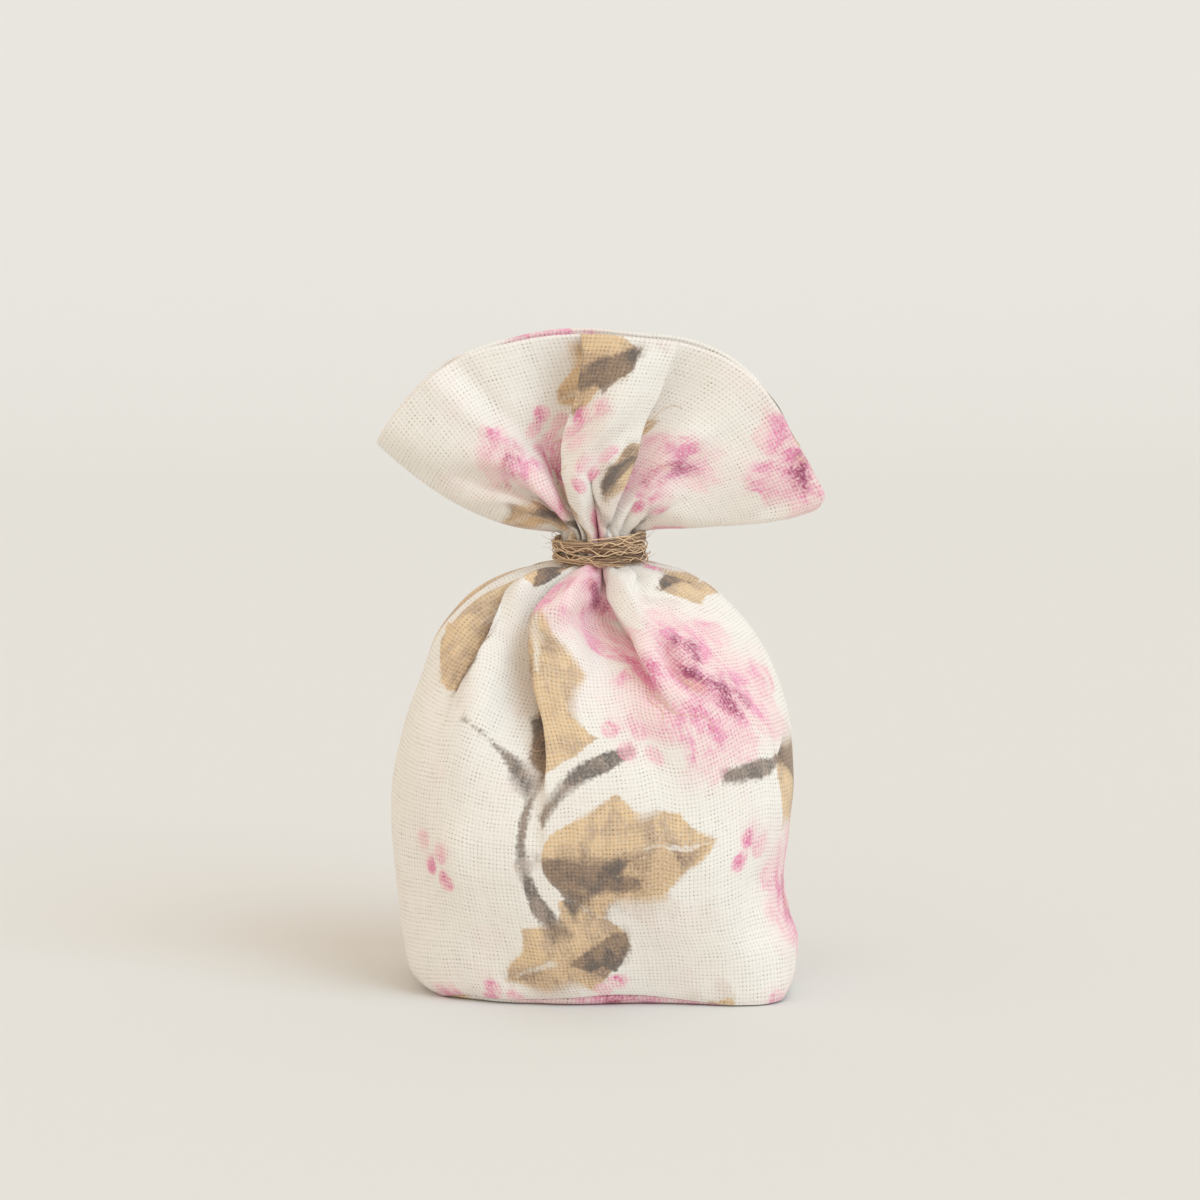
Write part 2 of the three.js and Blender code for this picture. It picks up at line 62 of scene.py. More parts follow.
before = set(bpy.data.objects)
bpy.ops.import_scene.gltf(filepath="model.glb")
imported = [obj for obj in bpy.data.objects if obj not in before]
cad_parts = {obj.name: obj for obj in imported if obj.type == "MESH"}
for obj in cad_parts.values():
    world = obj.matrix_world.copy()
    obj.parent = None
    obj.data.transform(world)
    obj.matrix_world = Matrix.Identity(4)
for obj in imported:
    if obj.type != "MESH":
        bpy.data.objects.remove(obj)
frame_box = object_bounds()

MM = 0.001


def length(name, millimetres, description):
    """A length that the user can change, with its default given in millimetres."""
    return FloatProperty(
        name=name, description=description, default=millimetres * MM, min=0, unit="LENGTH"
    )


def linear(code):
    """A colour's linear values from its sRGB hex code."""
    parts = [int(code[i : i + 2], 16) / 255 for i in (0, 2, 4)]
    return (*[p / 12.92 if p <= 0.04045 else ((p + 0.055) / 1.055) ** 2.4 for p in parts], 1)


def colour(name, code, description):
    """A colour that the user can change, with its default given as a hex code."""
    return FloatVectorProperty(
        name=name, description=description, default=linear(code), size=4, subtype="COLOR",
        min=0, max=1,
    )


class PouchCloth(bpy.types.PropertyGroup):
    """Sizes of the pouch's cloth."""

    cut_width: length("Cut width", 116, "Width of one panel between its side seams, laid flat")
    body_left: length("Body left", 40.2, "From the neck's axis to the widest point on the left")
    body_right: length("Body right", 37.9, "From the neck's axis to the widest point on the right")
    body_depth: length("Body depth", 30, "From the neck's axis to the front, and to the back")
    neck_radius: length("Neck radius", 7.4, "Radius of the gathered neck inside the tie")
    neck_bottom: length("Neck bottom", 81.85, "Height of the gathered neck's lower end")
    neck_top: length("Neck top", 87.5, "Height of the gathered neck's upper end")
    ruffle_length: length("Ruffle length", 40.5, "From the tie to the top edge, at its longest")
    ruffle_bulge: length("Ruffle bulge", 10.6, "How far the ruffle stands out at its middle")
    hem_thickness: length("Hem thickness", 1.1, "Thickness of the doubled cloth of the ruffle")
    facing: length("Facing", 38, "How far down the mouth is turned in")
    pleats: IntProperty(
        name="Pleats", description="Fine pleats in each panel at the tie", default=9, min=3, max=24
    )


class PouchColours(bpy.types.PropertyGroup):
    """Colours of the cloth, its print and the twine."""

    cloth: colour("Cloth", "f3f0ea", "Unbleached linen between the printed motifs")
    # Painted shade: the colour of the holes stands in for the shade seen through them
    gaps: colour("Gaps", "9b8a78", "The small holes between the threads")
    blush: colour("Blush", "f8d6d6", "The palest wash of the petals")
    pink: colour("Pink", "ee96bf", "Petals")
    deep_pink: colour("Deep pink", "d85a92", "Petals, where the dye is strong")
    plum: colour("Plum", "8c3a5c", "The hearts of the flowers")
    ochre: colour("Ochre", "e6c28a", "Young leaves")
    tan: colour("Tan", "c4a788", "Old leaves")
    umber: colour("Umber", "8e7868", "The shaded side of the leaves")
    grey: colour("Grey", "6c645f", "Stems")
    twine: colour("Twine", "efd0aa", "The palest fibres of the jute")
    # Also the colour of the twine's core, which paints shade into the gaps between the locks
    twine_dark: colour("Dark twine", "6f5038", "The darkest fibres of the jute")
    backdrop: colour("Backdrop", "e0e0de", "The paper that the pouch stands on")


class PouchTwine(bpy.types.PropertyGroup):
    """Sizes of the jute twine."""

    diameter: length("Diameter", 1.6, "Diameter of the twine")
    turn_gap: length("Turn gap", 0.55, "Gap between one turn and the next")
    middle_height: length("Middle height", 84.6, "Height of the winding's middle turn")
    radius: length("Radius", 8.3, "From the neck's axis to the middle of the twine")
    lay: length("Lay", 14, "Length of twine in which its fibres go once round")
    turns: IntProperty(name="Turns", description="Turns round the neck", default=3, min=1, max=8)


# The half widths of the base in shares of the body's, as in the solids
BASE_LEFT_SHARE, BASE_RIGHT_SHARE = 0.886, 0.975
# The body's outline in shares: height of the neck's lower end, then the left and right widths
# and the depth.
BODY_PROFILE_SHARES = (
    (0.006, 0.79, 0.955, 0.81),
    (0.018, 0.846, 0.972, 0.825),
    (0.061, 0.91, 0.994, 0.853),
    (0.119, 0.94, 1.0, 0.893),
    (0.183, 0.965, 0.952, 0.933),
    (0.257, 0.985, 0.935, 0.973),
    (0.367, 1.0, 0.963, 1.0),
    (0.489, 0.988, 0.979, 0.987),
    (0.611, 0.943, 0.963, 0.933),
    (0.733, 0.858, 0.9, 0.84),
    (0.831, 0.78, 0.79, 0.717),
    (0.904, 0.655, 0.66, 0.573),
    (0.955, 0.512, 0.535, 0.447),
    (0.987, 0.345, 0.36, 0.327),
)
# Of the base's superellipse, 2 at the neck, and how much squarer it is right at the floor
CORNER_POWER = {"left": 2.9, "right": 3.5}
FLOOR_POWER = {"left": 0.6, "right": 4.0}
# Angles from the upright of the ruffle's side edges: at the tie, half way out and at the corner
LEFT_EDGE_ANGLES = (78, 66, 49)
RIGHT_EDGE_ANGLES = (56, 86, 72)
# How many degrees more the side edges themselves droop, which fades over a quarter of the panel
LEFT_EDGE_DROOP = (14, -3, -2)
RIGHT_EDGE_DROOP = (26, 2, -3)

# How far the top edge stands from the tie, as shares of the ruffle's length, at places from the
# left seam to the right one
RUFFLE_REACH_SHARES = (
    (0, 0.99), (0.1, 0.975), (0.22, 0.985), (0.32, 0.96), (0.42, 0.95), (0.5, 0.945),
    (0.6, 0.965), (0.66, 0.97), (0.72, 0.955), (0.8, 0.905), (0.86, 0.865), (0.93, 0.87),
    (0.965, 0.89), (1, 0.83),
)

# Folds of the cloth. Every table pairs a distance from the tie along the cloth, in millimetres,
# with a place or width, in shares of the panel from its left seam as seen from the front, or with
# a depth in millimetres. A dent is a plain trough, and a crease is the sharp line between two
# full rolls. An edge drops steeply from a ridge and comes back slowly: facing says on which side
# of the ridge the drop is, lean how far the ridge overhangs it, and drop how wide the drop is, as
# a share of the fold. A bowl has a wider floor between the drop and the way back.
DENT, CREASE, EDGE = "dent", "crease", "edge"


def fold(kind, at, width, depth, facing=1, lean=0.0, drop=0.12, bowl=False):
    """One row of the table of folds."""
    shape = dict(facing=facing, lean=lean, drop=drop, bowl=bowl)
    return dict(kind=kind, at=at, width=width, depth=depth, **shape)


FOLDS = {
    ("front", "body"): [
        fold(CREASE, [(0, 0.13), (8, 0.09), (20, 0.07)], [(0, 0.05), (20, 0.08)],
             [(0, 2.2), (4, 3), (12, 2.4), (24, 0)]),
        fold(EDGE, [(0, 0.27), (3, 0.222), (7, 0.209), (11, 0.234), (16, 0.248), (22, 0.243),
                    (28, 0.22), (36, 0.2)],
             [(0, 0.06), (8, 0.09), (20, 0.13), (36, 0.16)],
             [(0, 2.8), (3, 4.8), (8, 7), (13, 7.2), (20, 5), (28, 2.2), (38, 0)],
             facing=-1, lean=1.2, bowl=True),
        fold(EDGE, [(0, 0.405), (4, 0.382), (8, 0.372), (12, 0.37), (18, 0.381), (30, 0.405),
                    (36, 0.417), (60, 0.43)],
             [(0, 0.06), (8, 0.11), (20, 0.13), (45, 0.15)],
             [(0, 3), (3, 5.2), (8, 8.2), (14, 9.6), (24, 8.8), (34, 6.2), (46, 3), (64, 0)],
             facing=-1, lean=1.3, bowl=True),
        fold(EDGE, [(0, 0.523), (7, 0.476), (11, 0.457), (17, 0.423), (22, 0.414)],
             [(0, 0.05), (8, 0.07), (22, 0.09)],
             [(0, 1.6), (3, 2.2), (8, 2.8), (14, 2.2), (20, 0.8), (26, 0)], facing=1, lean=0.4),
        fold(DENT, [(0, 0.53), (8, 0.505), (20, 0.5), (37, 0.509), (58, 0.515)],
             [(0, 0.06), (12, 0.09), (30, 0.11), (58, 0.14)],
             [(0, 2.4), (4, 5), (12, 7.2), (24, 5.4), (38, 2.8), (60, 0)]),
        fold(EDGE, [(0, 0.55), (7, 0.543), (11, 0.552), (17, 0.566), (21, 0.568), (27, 0.58),
                    (34, 0.605)],
             [(0, 0.04), (10, 0.055), (34, 0.06)],
             [(0, 3), (4, 5.2), (12, 6.6), (18, 5.4), (27, 2.8), (34, 0)], facing=-1, lean=1.3),
        fold(EDGE, [(0, 0.75), (4, 0.65), (8, 0.6), (14, 0.585)], [(0, 0.06), (14, 0.06)],
             [(0, 1.8), (3, 1.8), (8, 1.2), (15, 0)], facing=1, lean=0.4),
        fold(DENT, [(14, 0.605), (22, 0.617), (30, 0.63)], [(14, 0.03), (30, 0.04)],
             [(15, 0), (21, 3.6), (24, 3.4), (30, 0)]),
        fold(CREASE, [(0, 0.88), (14, 0.83)], [(0, 0.05), (14, 0.08)],
             [(0, 1.6), (4, 1.6), (16, 0)]),
        fold(DENT, [(44, 0.3), (60, 0.2), (88, 0.12)], [(44, 0.1), (88, 0.12)],
             [(42, 0), (58, 1), (70, 1.1), (88, 0)]),
        fold(DENT, [(56, 0.36), (92, 0.46)], [(56, 0.1), (92, 0.1)],
             [(54, 0), (68, 0.9), (80, 0.9), (92, 0)]),
        fold(DENT, [(58, 0.25), (90, 0.3)], [(58, 0.17), (90, 0.17)],
             [(58, 0), (71, 1.6), (84, 0.7), (92, 0)]),
        fold(DENT, [(60, 0.8), (84, 0.7)], [(60, 0.09), (84, 0.1)],
             [(58, 0), (70, 0.9), (84, 0)]),
    ],
    ("front", "ruffle"): [
        fold(EDGE, [(0, 0.3), (6, 0.329), (10, 0.327), (16, 0.324), (22, 0.303), (28, 0.268),
                    (36, 0.239), (41, 0.224)],
             [(0, 0.05), (9, 0.06), (16, 0.11), (24, 0.18), (41, 0.21)],
             [(0, 2), (3, 2.8), (9, 4), (16, 4.4), (28, 4), (41, 3)],
             facing=1, lean=0.5, drop=0.35),
        fold(EDGE, [(0, 0.414), (5, 0.39), (13, 0.385), (18, 0.39), (21, 0.402), (25, 0.424),
                    (30, 0.435), (36, 0.432), (41, 0.422)],
             [(0, 0.05), (9, 0.08), (16, 0.12), (24, 0.16), (41, 0.19)],
             [(0, 2.4), (3, 4), (9, 6.6), (20, 8.8), (30, 8.8), (41, 7)],
             facing=-1, lean=1.1, bowl=True),
        fold(CREASE, [(0, 0.484), (4, 0.493), (7, 0.49), (10, 0.479), (16, 0.44)],
             [(0, 0.035), (16, 0.05)], [(0, 2.4), (2, 3.2), (8, 3.2), (13, 1.4), (18, 0)]),
        fold(EDGE, [(0, 0.545), (7, 0.599), (11, 0.61), (16, 0.608), (23, 0.598), (29, 0.604),
                    (35, 0.6), (41, 0.598)],
             [(0, 0.05), (10, 0.1), (22, 0.14), (41, 0.17)],
             [(0, 2.4), (3, 3.4), (10, 5), (20, 6), (30, 5.8), (41, 4.4)],
             facing=1, lean=1.05, bowl=True),
        fold(EDGE, [(1, 0.24), (7, 0.232), (10, 0.204), (14, 0.168), (17, 0.13), (22, 0.09),
                    (28, 0.06)],
             [(1, 0.05), (10, 0.08), (28, 0.11)],
             [(0, 1.8), (3, 2.2), (8, 3.2), (13, 3.2), (18, 2), (26, 0)], facing=1, lean=0.5),
        fold(CREASE, [(0, 0.14), (8, 0.12)], [(0, 0.05), (8, 0.06)], [(0, 1.6), (4, 1.4), (12, 0)]),
        fold(CREASE, [(0, 0.72), (12, 0.7)], [(0, 0.05), (12, 0.07)],
             [(0, 2), (3, 1.8), (14, 0)]),
        fold(CREASE, [(0, 0.86), (14, 0.85)], [(0, 0.05), (14, 0.08)],
             [(0, 1.8), (4, 1.8), (17, 0)]),
        fold(DENT, [(10, 0.8), (26, 0.77), (41, 0.76)], [(10, 0.08), (41, 0.1)],
             [(8, 0), (20, 1.1), (34, 1), (41, 0.9)]),
        fold(DENT, [(24, 0.99), (34, 0.93), (41, 0.9)], [(24, 0.04), (41, 0.06)],
             [(22, 0), (32, 1.1), (41, 1.4)]),
    ],
    ("back", "body"): [
        fold(CREASE, [(0, 0.16), (20, 0.12)], [(0, 0.05), (20, 0.08)],
             [(0, 1.8), (5, 2.4), (14, 2.4), (30, 0)]),
        fold(EDGE, [(0, 0.33), (10, 0.29), (36, 0.26)], [(0, 0.07), (36, 0.15)],
             [(0, 2), (5, 3), (16, 4.6), (30, 2.8), (50, 0)], facing=1, lean=0.6),
        fold(DENT, [(0, 0.5), (20, 0.47), (40, 0.46)], [(0, 0.05), (30, 0.11)],
             [(0, 2), (5, 2.8), (16, 4.2), (34, 2.2), (54, 0)]),
        fold(CREASE, [(0, 0.58), (14, 0.59)], [(0, 0.05), (14, 0.06)],
             [(0, 2), (5, 2.6), (18, 0)]),
        fold(EDGE, [(0, 0.68), (10, 0.69), (36, 0.7)], [(0, 0.07), (36, 0.16)],
             [(0, 2), (5, 3), (15, 4.8), (28, 3), (48, 0)], facing=-1, lean=0.8),
        fold(CREASE, [(0, 0.84), (20, 0.88)], [(0, 0.05), (20, 0.08)],
             [(0, 1.8), (5, 2.2), (14, 2.2), (27, 0)]),
        fold(DENT, [(50, 0.8), (90, 0.66)], [(50, 0.1), (90, 0.14)],
             [(48, 0), (64, 1.2), (76, 1.2), (90, 0)]),
        fold(DENT, [(48, 0.2), (88, 0.34)], [(48, 0.09), (88, 0.12)],
             [(46, 0), (62, 1), (74, 1.1), (88, 0)]),
    ],
    ("back", "ruffle"): [
        fold(EDGE, [(0, 0.3), (14, 0.27), (41, 0.24)], [(0, 0.07), (14, 0.13), (41, 0.2)],
             [(0, 2), (4, 3), (14, 4.4), (41, 3)], facing=1, lean=0.6, drop=0.3),
        fold(DENT, [(0, 0.52), (20, 0.5), (41, 0.52)], [(0, 0.05), (20, 0.09), (41, 0.12)],
             [(0, 2), (4, 2.8), (16, 3.4), (41, 2)]),
        fold(EDGE, [(0, 0.68), (14, 0.71), (41, 0.76)], [(0, 0.07), (14, 0.12), (41, 0.18)],
             [(0, 2), (4, 3), (14, 4.4), (41, 2.8)], facing=-1, lean=0.7, drop=0.25),
        fold(CREASE, [(0, 0.13), (16, 0.1)], [(0, 0.04), (16, 0.06)],
             [(0, 1.8), (4, 2), (20, 0)]),
        fold(CREASE, [(0, 0.4), (14, 0.38)], [(0, 0.05), (14, 0.07)],
             [(0, 2), (4, 2.4), (18, 0)]),
        fold(CREASE, [(0, 0.87), (16, 0.9)], [(0, 0.04), (16, 0.06)],
             [(0, 1.8), (4, 2), (22, 0)]),
    ],
}


def eased(t):
    """A smooth step from 0 to 1."""
    t = np.clip(t, 0, 1)
    return t * t * (3 - 2 * t)


def through(values, q):
    """The curve through three values at q = 0, a half and 1."""
    a, b, c = values
    return a * (1 - q) * (1 - 2 * q) + 4 * b * q * (1 - q) + c * q * (2 * q - 1)


def rounded(places, values, at):
    """A smooth curve through a table's values that never overshoots them."""
    places, values = np.asarray(places, float), np.asarray(values, float)
    step = np.diff(places)
    slope = np.diff(values) / step
    ends = np.concatenate([[slope[0]], slope, [slope[-1]]])
    same = ends[:-1] * ends[1:] > 0
    tangent = np.where(same, 2 * ends[:-1] * ends[1:] / np.where(same, ends[:-1] + ends[1:], 1), 0)
    i = np.clip(np.searchsorted(places, at) - 1, 0, len(step) - 1)
    h = step[i]
    t = (at - places[i]) / h
    return (
        values[i] * (1 + 2 * t) * (1 - t) ** 2
        + h * tangent[i] * t * (1 - t) ** 2
        + values[i + 1] * t * t * (3 - 2 * t)
        + h * tangent[i + 1] * t * t * (t - 1)
    )


def table(pairs, at):
    """Values of a table of (place, value) pairs at some places."""
    places, values = zip(*pairs)
    return rounded(places, values, np.clip(at, places[0], places[-1]))


def rolls(place):
    """How deep the sharp line between two round rolls lies, at places from -1 to 1 across them."""
    return 1 - np.sqrt(1 - np.clip(1 - np.abs(place), 0, 1) ** 2)


def fold_form(f, place):
    """A fold's dip and sideways lean at places across it, as shares of its depth."""
    if f["kind"] == DENT:
        return (1 + np.cos(pi * np.clip(place, -1, 1))) / 2, 0
    if f["kind"] == CREASE:
        return rolls(place), 0
    drop = f["drop"]
    back = 1 - eased(place) if f["bowl"] else np.clip(1 - place, 0, 1) ** 1.6
    rise = np.where(place > 0, back, eased(1 + place / drop))
    crest = np.clip(-(place + drop) / 0.9, 0, 1)
    puff = 0.28 * (1 - np.cos(tau * crest)) / 2
    before = eased(1 + (place + drop) / 0.5)
    inside = 1 - 2 * np.clip((place + drop) / drop, 0, 1)
    after = -(1 - eased(place / 0.5))
    lean = np.where(place <= -drop, before, np.where(place <= 0, inside, after))
    return rise - puff, f["facing"] * lean


def run_along(points, axis=0):
    """How far each point lies from the start of its line, along it."""
    steps = np.linalg.norm(np.diff(points, axis=axis), axis=-1)
    return np.concatenate([np.zeros_like(steps.take([0], axis)), np.cumsum(steps, axis)], axis)


def unit(vectors):
    """Vectors brought to a length of 1."""
    return vectors / np.maximum(np.linalg.norm(vectors, axis=-1, keepdims=True), 1e-12)


SAMPLES = 1400  # across a panel, before the cloth's own columns are laid out
COLUMNS = 230
ROW_STEP = 0.75  # millimetres of cloth from one row to the next
SOFTNESS = 1.5  # columns and rows over which a crease of this cloth is rounded off
# The base seam rides up a little at the front: millimetres high, its middle and its half width
SEAM_RISE, SEAM_RISE_AT, SEAM_RISE_WIDTH = 1.9, 1.0, 14.0
# How deep the cloth may be folded at the tie, and how much deeper away from it, in millimetres
TIED_DEPTH, MORE_DEPTH = 4.6, 6.2
# The groove along the side seams: its depth and half width in millimetres
GROOVE_DEPTH, GROOVE_WIDTH = 0.55, 1.1
# Slack and small wrinkles: length and height of their waves in millimetres, and how many there are
WRINKLES = ((34, 0.42, 7), (15, 0.16, 9), (7, 0.05, 9))


class Panel:
    """The front or the back, as rows of points in millimetres from the base seam to the mouth."""

    def __init__(self, side, sizes, neck_x):
        self.side, self.sizes, self.neck_x = side, sizes, neck_x
        self.sign = -1 if side == "front" else 1
        self.share = np.linspace(0, 1, SAMPLES)
        self.turn = pi * (self.share - 0.5)
        self.random = np.random.default_rng(11 if side == "front" else 23)
        self.parts, self.from_tie, rows = [], [], []
        for part, distance, points in (*self.body(), *self.neck(), *self.ruffle()):
            self.parts.append(part)
            self.from_tie.append(distance)
            rows.append(points)
        self.parts = np.array(self.parts)
        self.from_tie = np.array(self.from_tie)
        self.form = np.stack(rows)
        self.outer, self.inner, self.u, self.v = self.surface()

    def mm(self, name):
        """One of the sizes in millimetres."""
        return getattr(self.sizes, name) / MM

    def body(self):
        """Rows of the smooth body, from the base seam up to the tie."""
        left, right = self.mm("body_left"), self.mm("body_right")
        depth, radius = self.mm("body_depth"), self.mm("neck_radius")
        profile = np.array(
            [*BODY_PROFILE_SHARES, (1, radius / left, radius / right, radius / depth)]
        ) * (self.mm("neck_bottom"), left, right, depth)
        heights = np.linspace(profile[0, 0], profile[-1, 0], 600)
        front = rounded(profile[:, 0], profile[:, 3], heights)
        run = np.concatenate([[0], np.cumsum(np.hypot(np.diff(heights), np.diff(front)))])
        count = round(run[-1] / ROW_STEP)
        chosen = np.interp(np.linspace(0, run[-1], count + 1), run, heights)
        widths = [rounded(profile[:, 0], profile[:, k], chosen) for k in (1, 2, 3)]
        for i, height in enumerate(chosen[:-1]):
            distance = run[-1] * (1 - i / count)
            yield "body", distance, self.ring(height, *(w[i] for w in widths))

    def ring(self, height, left, right, depth):
        """A level row half way round: an ellipse that gets squarer towards the floor."""
        low = max(1 - height / self.mm("neck_bottom"), 0)
        corner, floor = (
            np.where(self.turn < 0, power["left"], power["right"])
            for power in (CORNER_POWER, FLOOR_POWER)
        )
        power = 2 + (corner - 2) * low + floor * low**8
        across = np.sign(self.turn) * np.abs(np.sin(self.turn)) ** (2 / power)
        out = np.clip(np.cos(self.turn), 0, None) ** (2 / power)
        width = np.where(self.turn < 0, left, right)
        return np.stack([width * across, self.sign * depth * out, np.full(SAMPLES, height)], 1)

    def neck(self):
        """Rows of the round neck inside the tie."""
        radius = self.mm("neck_radius")
        for height in np.linspace(self.mm("neck_bottom"), self.mm("neck_top"), 9):
            yield "neck", 0.0, self.ring(height, radius, radius, radius)

    def ruffle(self):
        """Rows of the smooth fan above the tie: each line of the cloth leaves at its own angle."""
        radius, hem = self.mm("neck_radius"), self.mm("hem_thickness")
        count = round(self.mm("ruffle_length") / ROW_STEP)
        reach = self.mm("ruffle_length") * table(RUFFLE_REACH_SHARES, self.share)
        x, z = radius * np.sin(self.turn), np.full(SAMPLES, self.mm("neck_top"))
        edge = np.minimum(np.minimum(self.share, 1 - self.share) / 0.02, 1)
        rounding = np.sqrt(1 - (1 - edge) ** 2)
        for i in range(count):
            q = (i + 0.5) / count
            left, right = -through(LEFT_EDGE_ANGLES, q), through(RIGHT_EDGE_ANGLES, q)
            angle = left + (right - left) * self.share
            angle -= through(LEFT_EDGE_DROOP, q) * eased(1 - self.share / 0.25)
            angle += through(RIGHT_EDGE_DROOP, q) * eased(1 - (1 - self.share) / 0.25)
            angle = np.radians(angle)
            x = x + np.sin(angle) * reach / count
            z = z + np.cos(angle) * reach / count
            end = (i + 1) / count
            flat = eased(end / 0.3)
            lens = self.mm("ruffle_bulge") * np.sin(pi * self.share) ** 0.6 * (1 - 0.25 * end)
            y = radius * np.cos(self.turn) * (1 - flat) + (lens + hem * rounding) * flat
            yield "ruffle", end * self.mm("ruffle_length"), np.stack([x, self.sign * y, z], 1)

    def outward(self, grid):
        """The direction that the cloth faces at every point of a grid."""
        across, up = np.gradient(grid, axis=1), np.gradient(grid, axis=0)
        return -self.sign * unit(np.cross(across, up))

    def tucks(self):
        """How far the cloth lies below the smooth form, and how far it leans sideways."""
        depth, lean = np.zeros(self.form.shape[:2]), np.zeros(self.form.shape[:2])
        neck = self.parts == "neck"
        down = np.cumsum(neck) / neck.sum()
        for part in ("body", "ruffle"):
            rows = (self.parts == part) | neck
            away = self.from_tie[rows][:, None]
            near = np.where(neck, down if part == "ruffle" else 1 - down, 1)[rows][:, None]
            for f in FOLDS[self.side, part]:
                width, deep = table(f["width"], away), table(f["depth"], away) * near
                place = (self.share - table(f["at"], away)) / width * f["facing"]
                dip, leaning = fold_form(f, place)
                depth[rows] += deep * dip
                lean[rows] += f["lean"] * deep / 4 * leaning
        self.pleat(depth)
        sewn = eased(np.minimum(self.share, 1 - self.share) / 0.04)
        most = (TIED_DEPTH + MORE_DEPTH * eased(self.from_tie / 10))[:, None]
        # In the ruffle the front's and the back's doubled cloth lie against each other at the most
        room = np.clip(np.abs(self.form[..., 1]) - self.mm("hem_thickness") - 0.3, 0, None)
        most = np.where((self.parts == "ruffle")[:, None], np.minimum(most, room), most)
        return np.minimum(depth, most) * sewn, lean * sewn

    def pleat(self, depth):
        """Add the fine pleats at the tie to the cloth's depth below the smooth form."""
        count = self.sizes.pleats
        middles = (np.arange(count) + 0.5 + self.random.uniform(-0.18, 0.18, count)) / count
        for part, longest in (("body", 7), ("ruffle", 6)):
            reach = self.random.uniform(3, longest, count)
            deep = self.random.uniform(1.2, 1.8, count)
            rows = (self.parts == "ruffle") == (part == "ruffle")
            away = self.from_tie[rows][:, None]
            for middle, far, most in zip(middles, reach, deep):
                inside = rolls((self.share - middle) * count * 2)
                depth[rows] += most * inside * (1 - eased(away / far))

    def seams(self):
        """The side seams draw the cloth in along a narrow groove."""
        run = run_along(self.form, 1)
        edge = np.minimum(run, run[:, -1:] - run)
        fade = eased((self.from_tie - 2) / 8)[:, None]
        return GROOVE_DEPTH * np.exp(-((edge / GROOVE_WIDTH) ** 2)) * fade

    def sheared(self, form):
        """How far the weft leaves the level: near the tie it keeps one distance from the tie."""
        up = run_along(form)
        tie = np.argmax(self.parts != "body")
        long, middle = up[tie], up[tie, COLUMNS // 2]
        away = (long - up[:tie]) / long
        moved = np.zeros_like(up)
        moved[:tie] = middle - away * long + away**2 * (long - middle)
        moved[:tie] -= moved[:tie, COLUMNS // 2, None]
        return moved

    def creases(self, u, v):
        """Slack and small wrinkles of the cloth, in millimetres, over its flat places."""
        made = np.zeros_like(u)
        for size, height, count in WRINKLES:
            for _ in range(count):
                angle, phase = self.random.uniform(0, pi), self.random.uniform(0, tau)
                wave = size * self.random.uniform(0.75, 1.3)
                made += height / count**0.5 * np.sin(
                    tau * (u * cos(angle) + v * sin(angle)) / wave + phase
                )
        return made

    def surface(self):
        """Outer points, inner points and flat places (u across, v along) of the cloth's grid."""
        outward, sideways = self.outward(self.form), unit(np.gradient(self.form, axis=1))
        depth, lean = self.tucks()
        depth = depth + self.seams()
        slanted = self.form + sideways * lean[..., None]
        outer = slanted - outward * depth[..., None]
        inner = slanted - outward * (depth + self.mm("hem_thickness"))[..., None]
        even, samples = np.linspace(0, 1, COLUMNS + 1), np.arange(SAMPLES)
        column = np.stack([np.interp(even * run[-1], run, samples) for run in run_along(outer, 1)])
        low = np.clip(np.floor(column).astype(int), 0, SAMPLES - 2)
        part = (column - low)[..., None]
        row = np.arange(len(column))[:, None]

        def pick(grid):
            return grid[row, low] * (1 - part) + grid[row, low + 1] * part

        outer, inner = soften(pick(outer)), soften(pick(inner))
        u = even[None] * self.mm("cut_width") * np.ones((len(column), 1))
        v = run_along(outer[:, COLUMNS // 2])[:, None] + self.sheared(pick(self.form))
        normal = self.outward(outer)
        edge = eased(np.minimum(even, 1 - even) / 0.06)[None]
        calm = eased(self.from_tie / 12)[:, None] * edge
        waves = (self.creases(u, v) * calm)[..., None]
        outer, inner = outer + normal * waves, inner + normal * waves
        if self.side == "front":
            rise = SEAM_RISE * np.exp(-(((outer[..., 0] - SEAM_RISE_AT) / SEAM_RISE_WIDTH) ** 2))
            outer[..., 2] += rise * np.clip(1 - outer[..., 2] / 12, 0, 1) ** 2
        for grid in (outer, inner):
            grid[..., 1] = self.sign * np.maximum(self.sign * grid[..., 1], 0)
            grid[..., 0] += self.neck_x
        return outer, inner, u, v


def soften(grid):
    """A grid of points with its creases rounded off, and its border left where it is."""
    width = int(3 * SOFTNESS)
    weights = np.exp(-((np.arange(-width, width + 1) / SOFTNESS) ** 2))
    weights /= weights.sum()
    for axis in (0, 1):
        size = grid.shape[axis]
        index = np.arange(size)
        room = np.minimum(index, size - 1 - index)
        made = np.zeros_like(grid)
        for offset, weight in zip(range(-width, width + 1), weights):
            near = np.clip(offset, -room, room)
            made += weight * np.take(grid, index + near, axis)
        grid = made
    return grid


def grid_faces(rows, columns, flip):
    """Faces of an open grid of points, or the same faces turned over."""
    index = np.arange(rows * columns).reshape(rows, columns)
    a, b, c, d = index[:-1, :-1], index[:-1, 1:], index[1:, 1:], index[1:, :-1]
    order = (a, d, c, b) if flip else (a, b, c, d)
    return np.stack([o.ravel() for o in order], 1).tolist()


def ring_faces(rings, count, first=0):
    """Faces between closed rings of points, from the number of the first point on."""
    index = first + np.arange(rings * count).reshape(rings, count)
    after = np.roll(index, -1, axis=1)
    return np.stack([index[:-1], after[:-1], after[1:], index[1:]], -1).reshape(-1, 4).tolist()


def fan(ring, tip):
    """Triangles from a closed ring of points to one more point."""
    return [(a, b, tip) for a, b in zip(ring, [*ring[1:], ring[0]])]


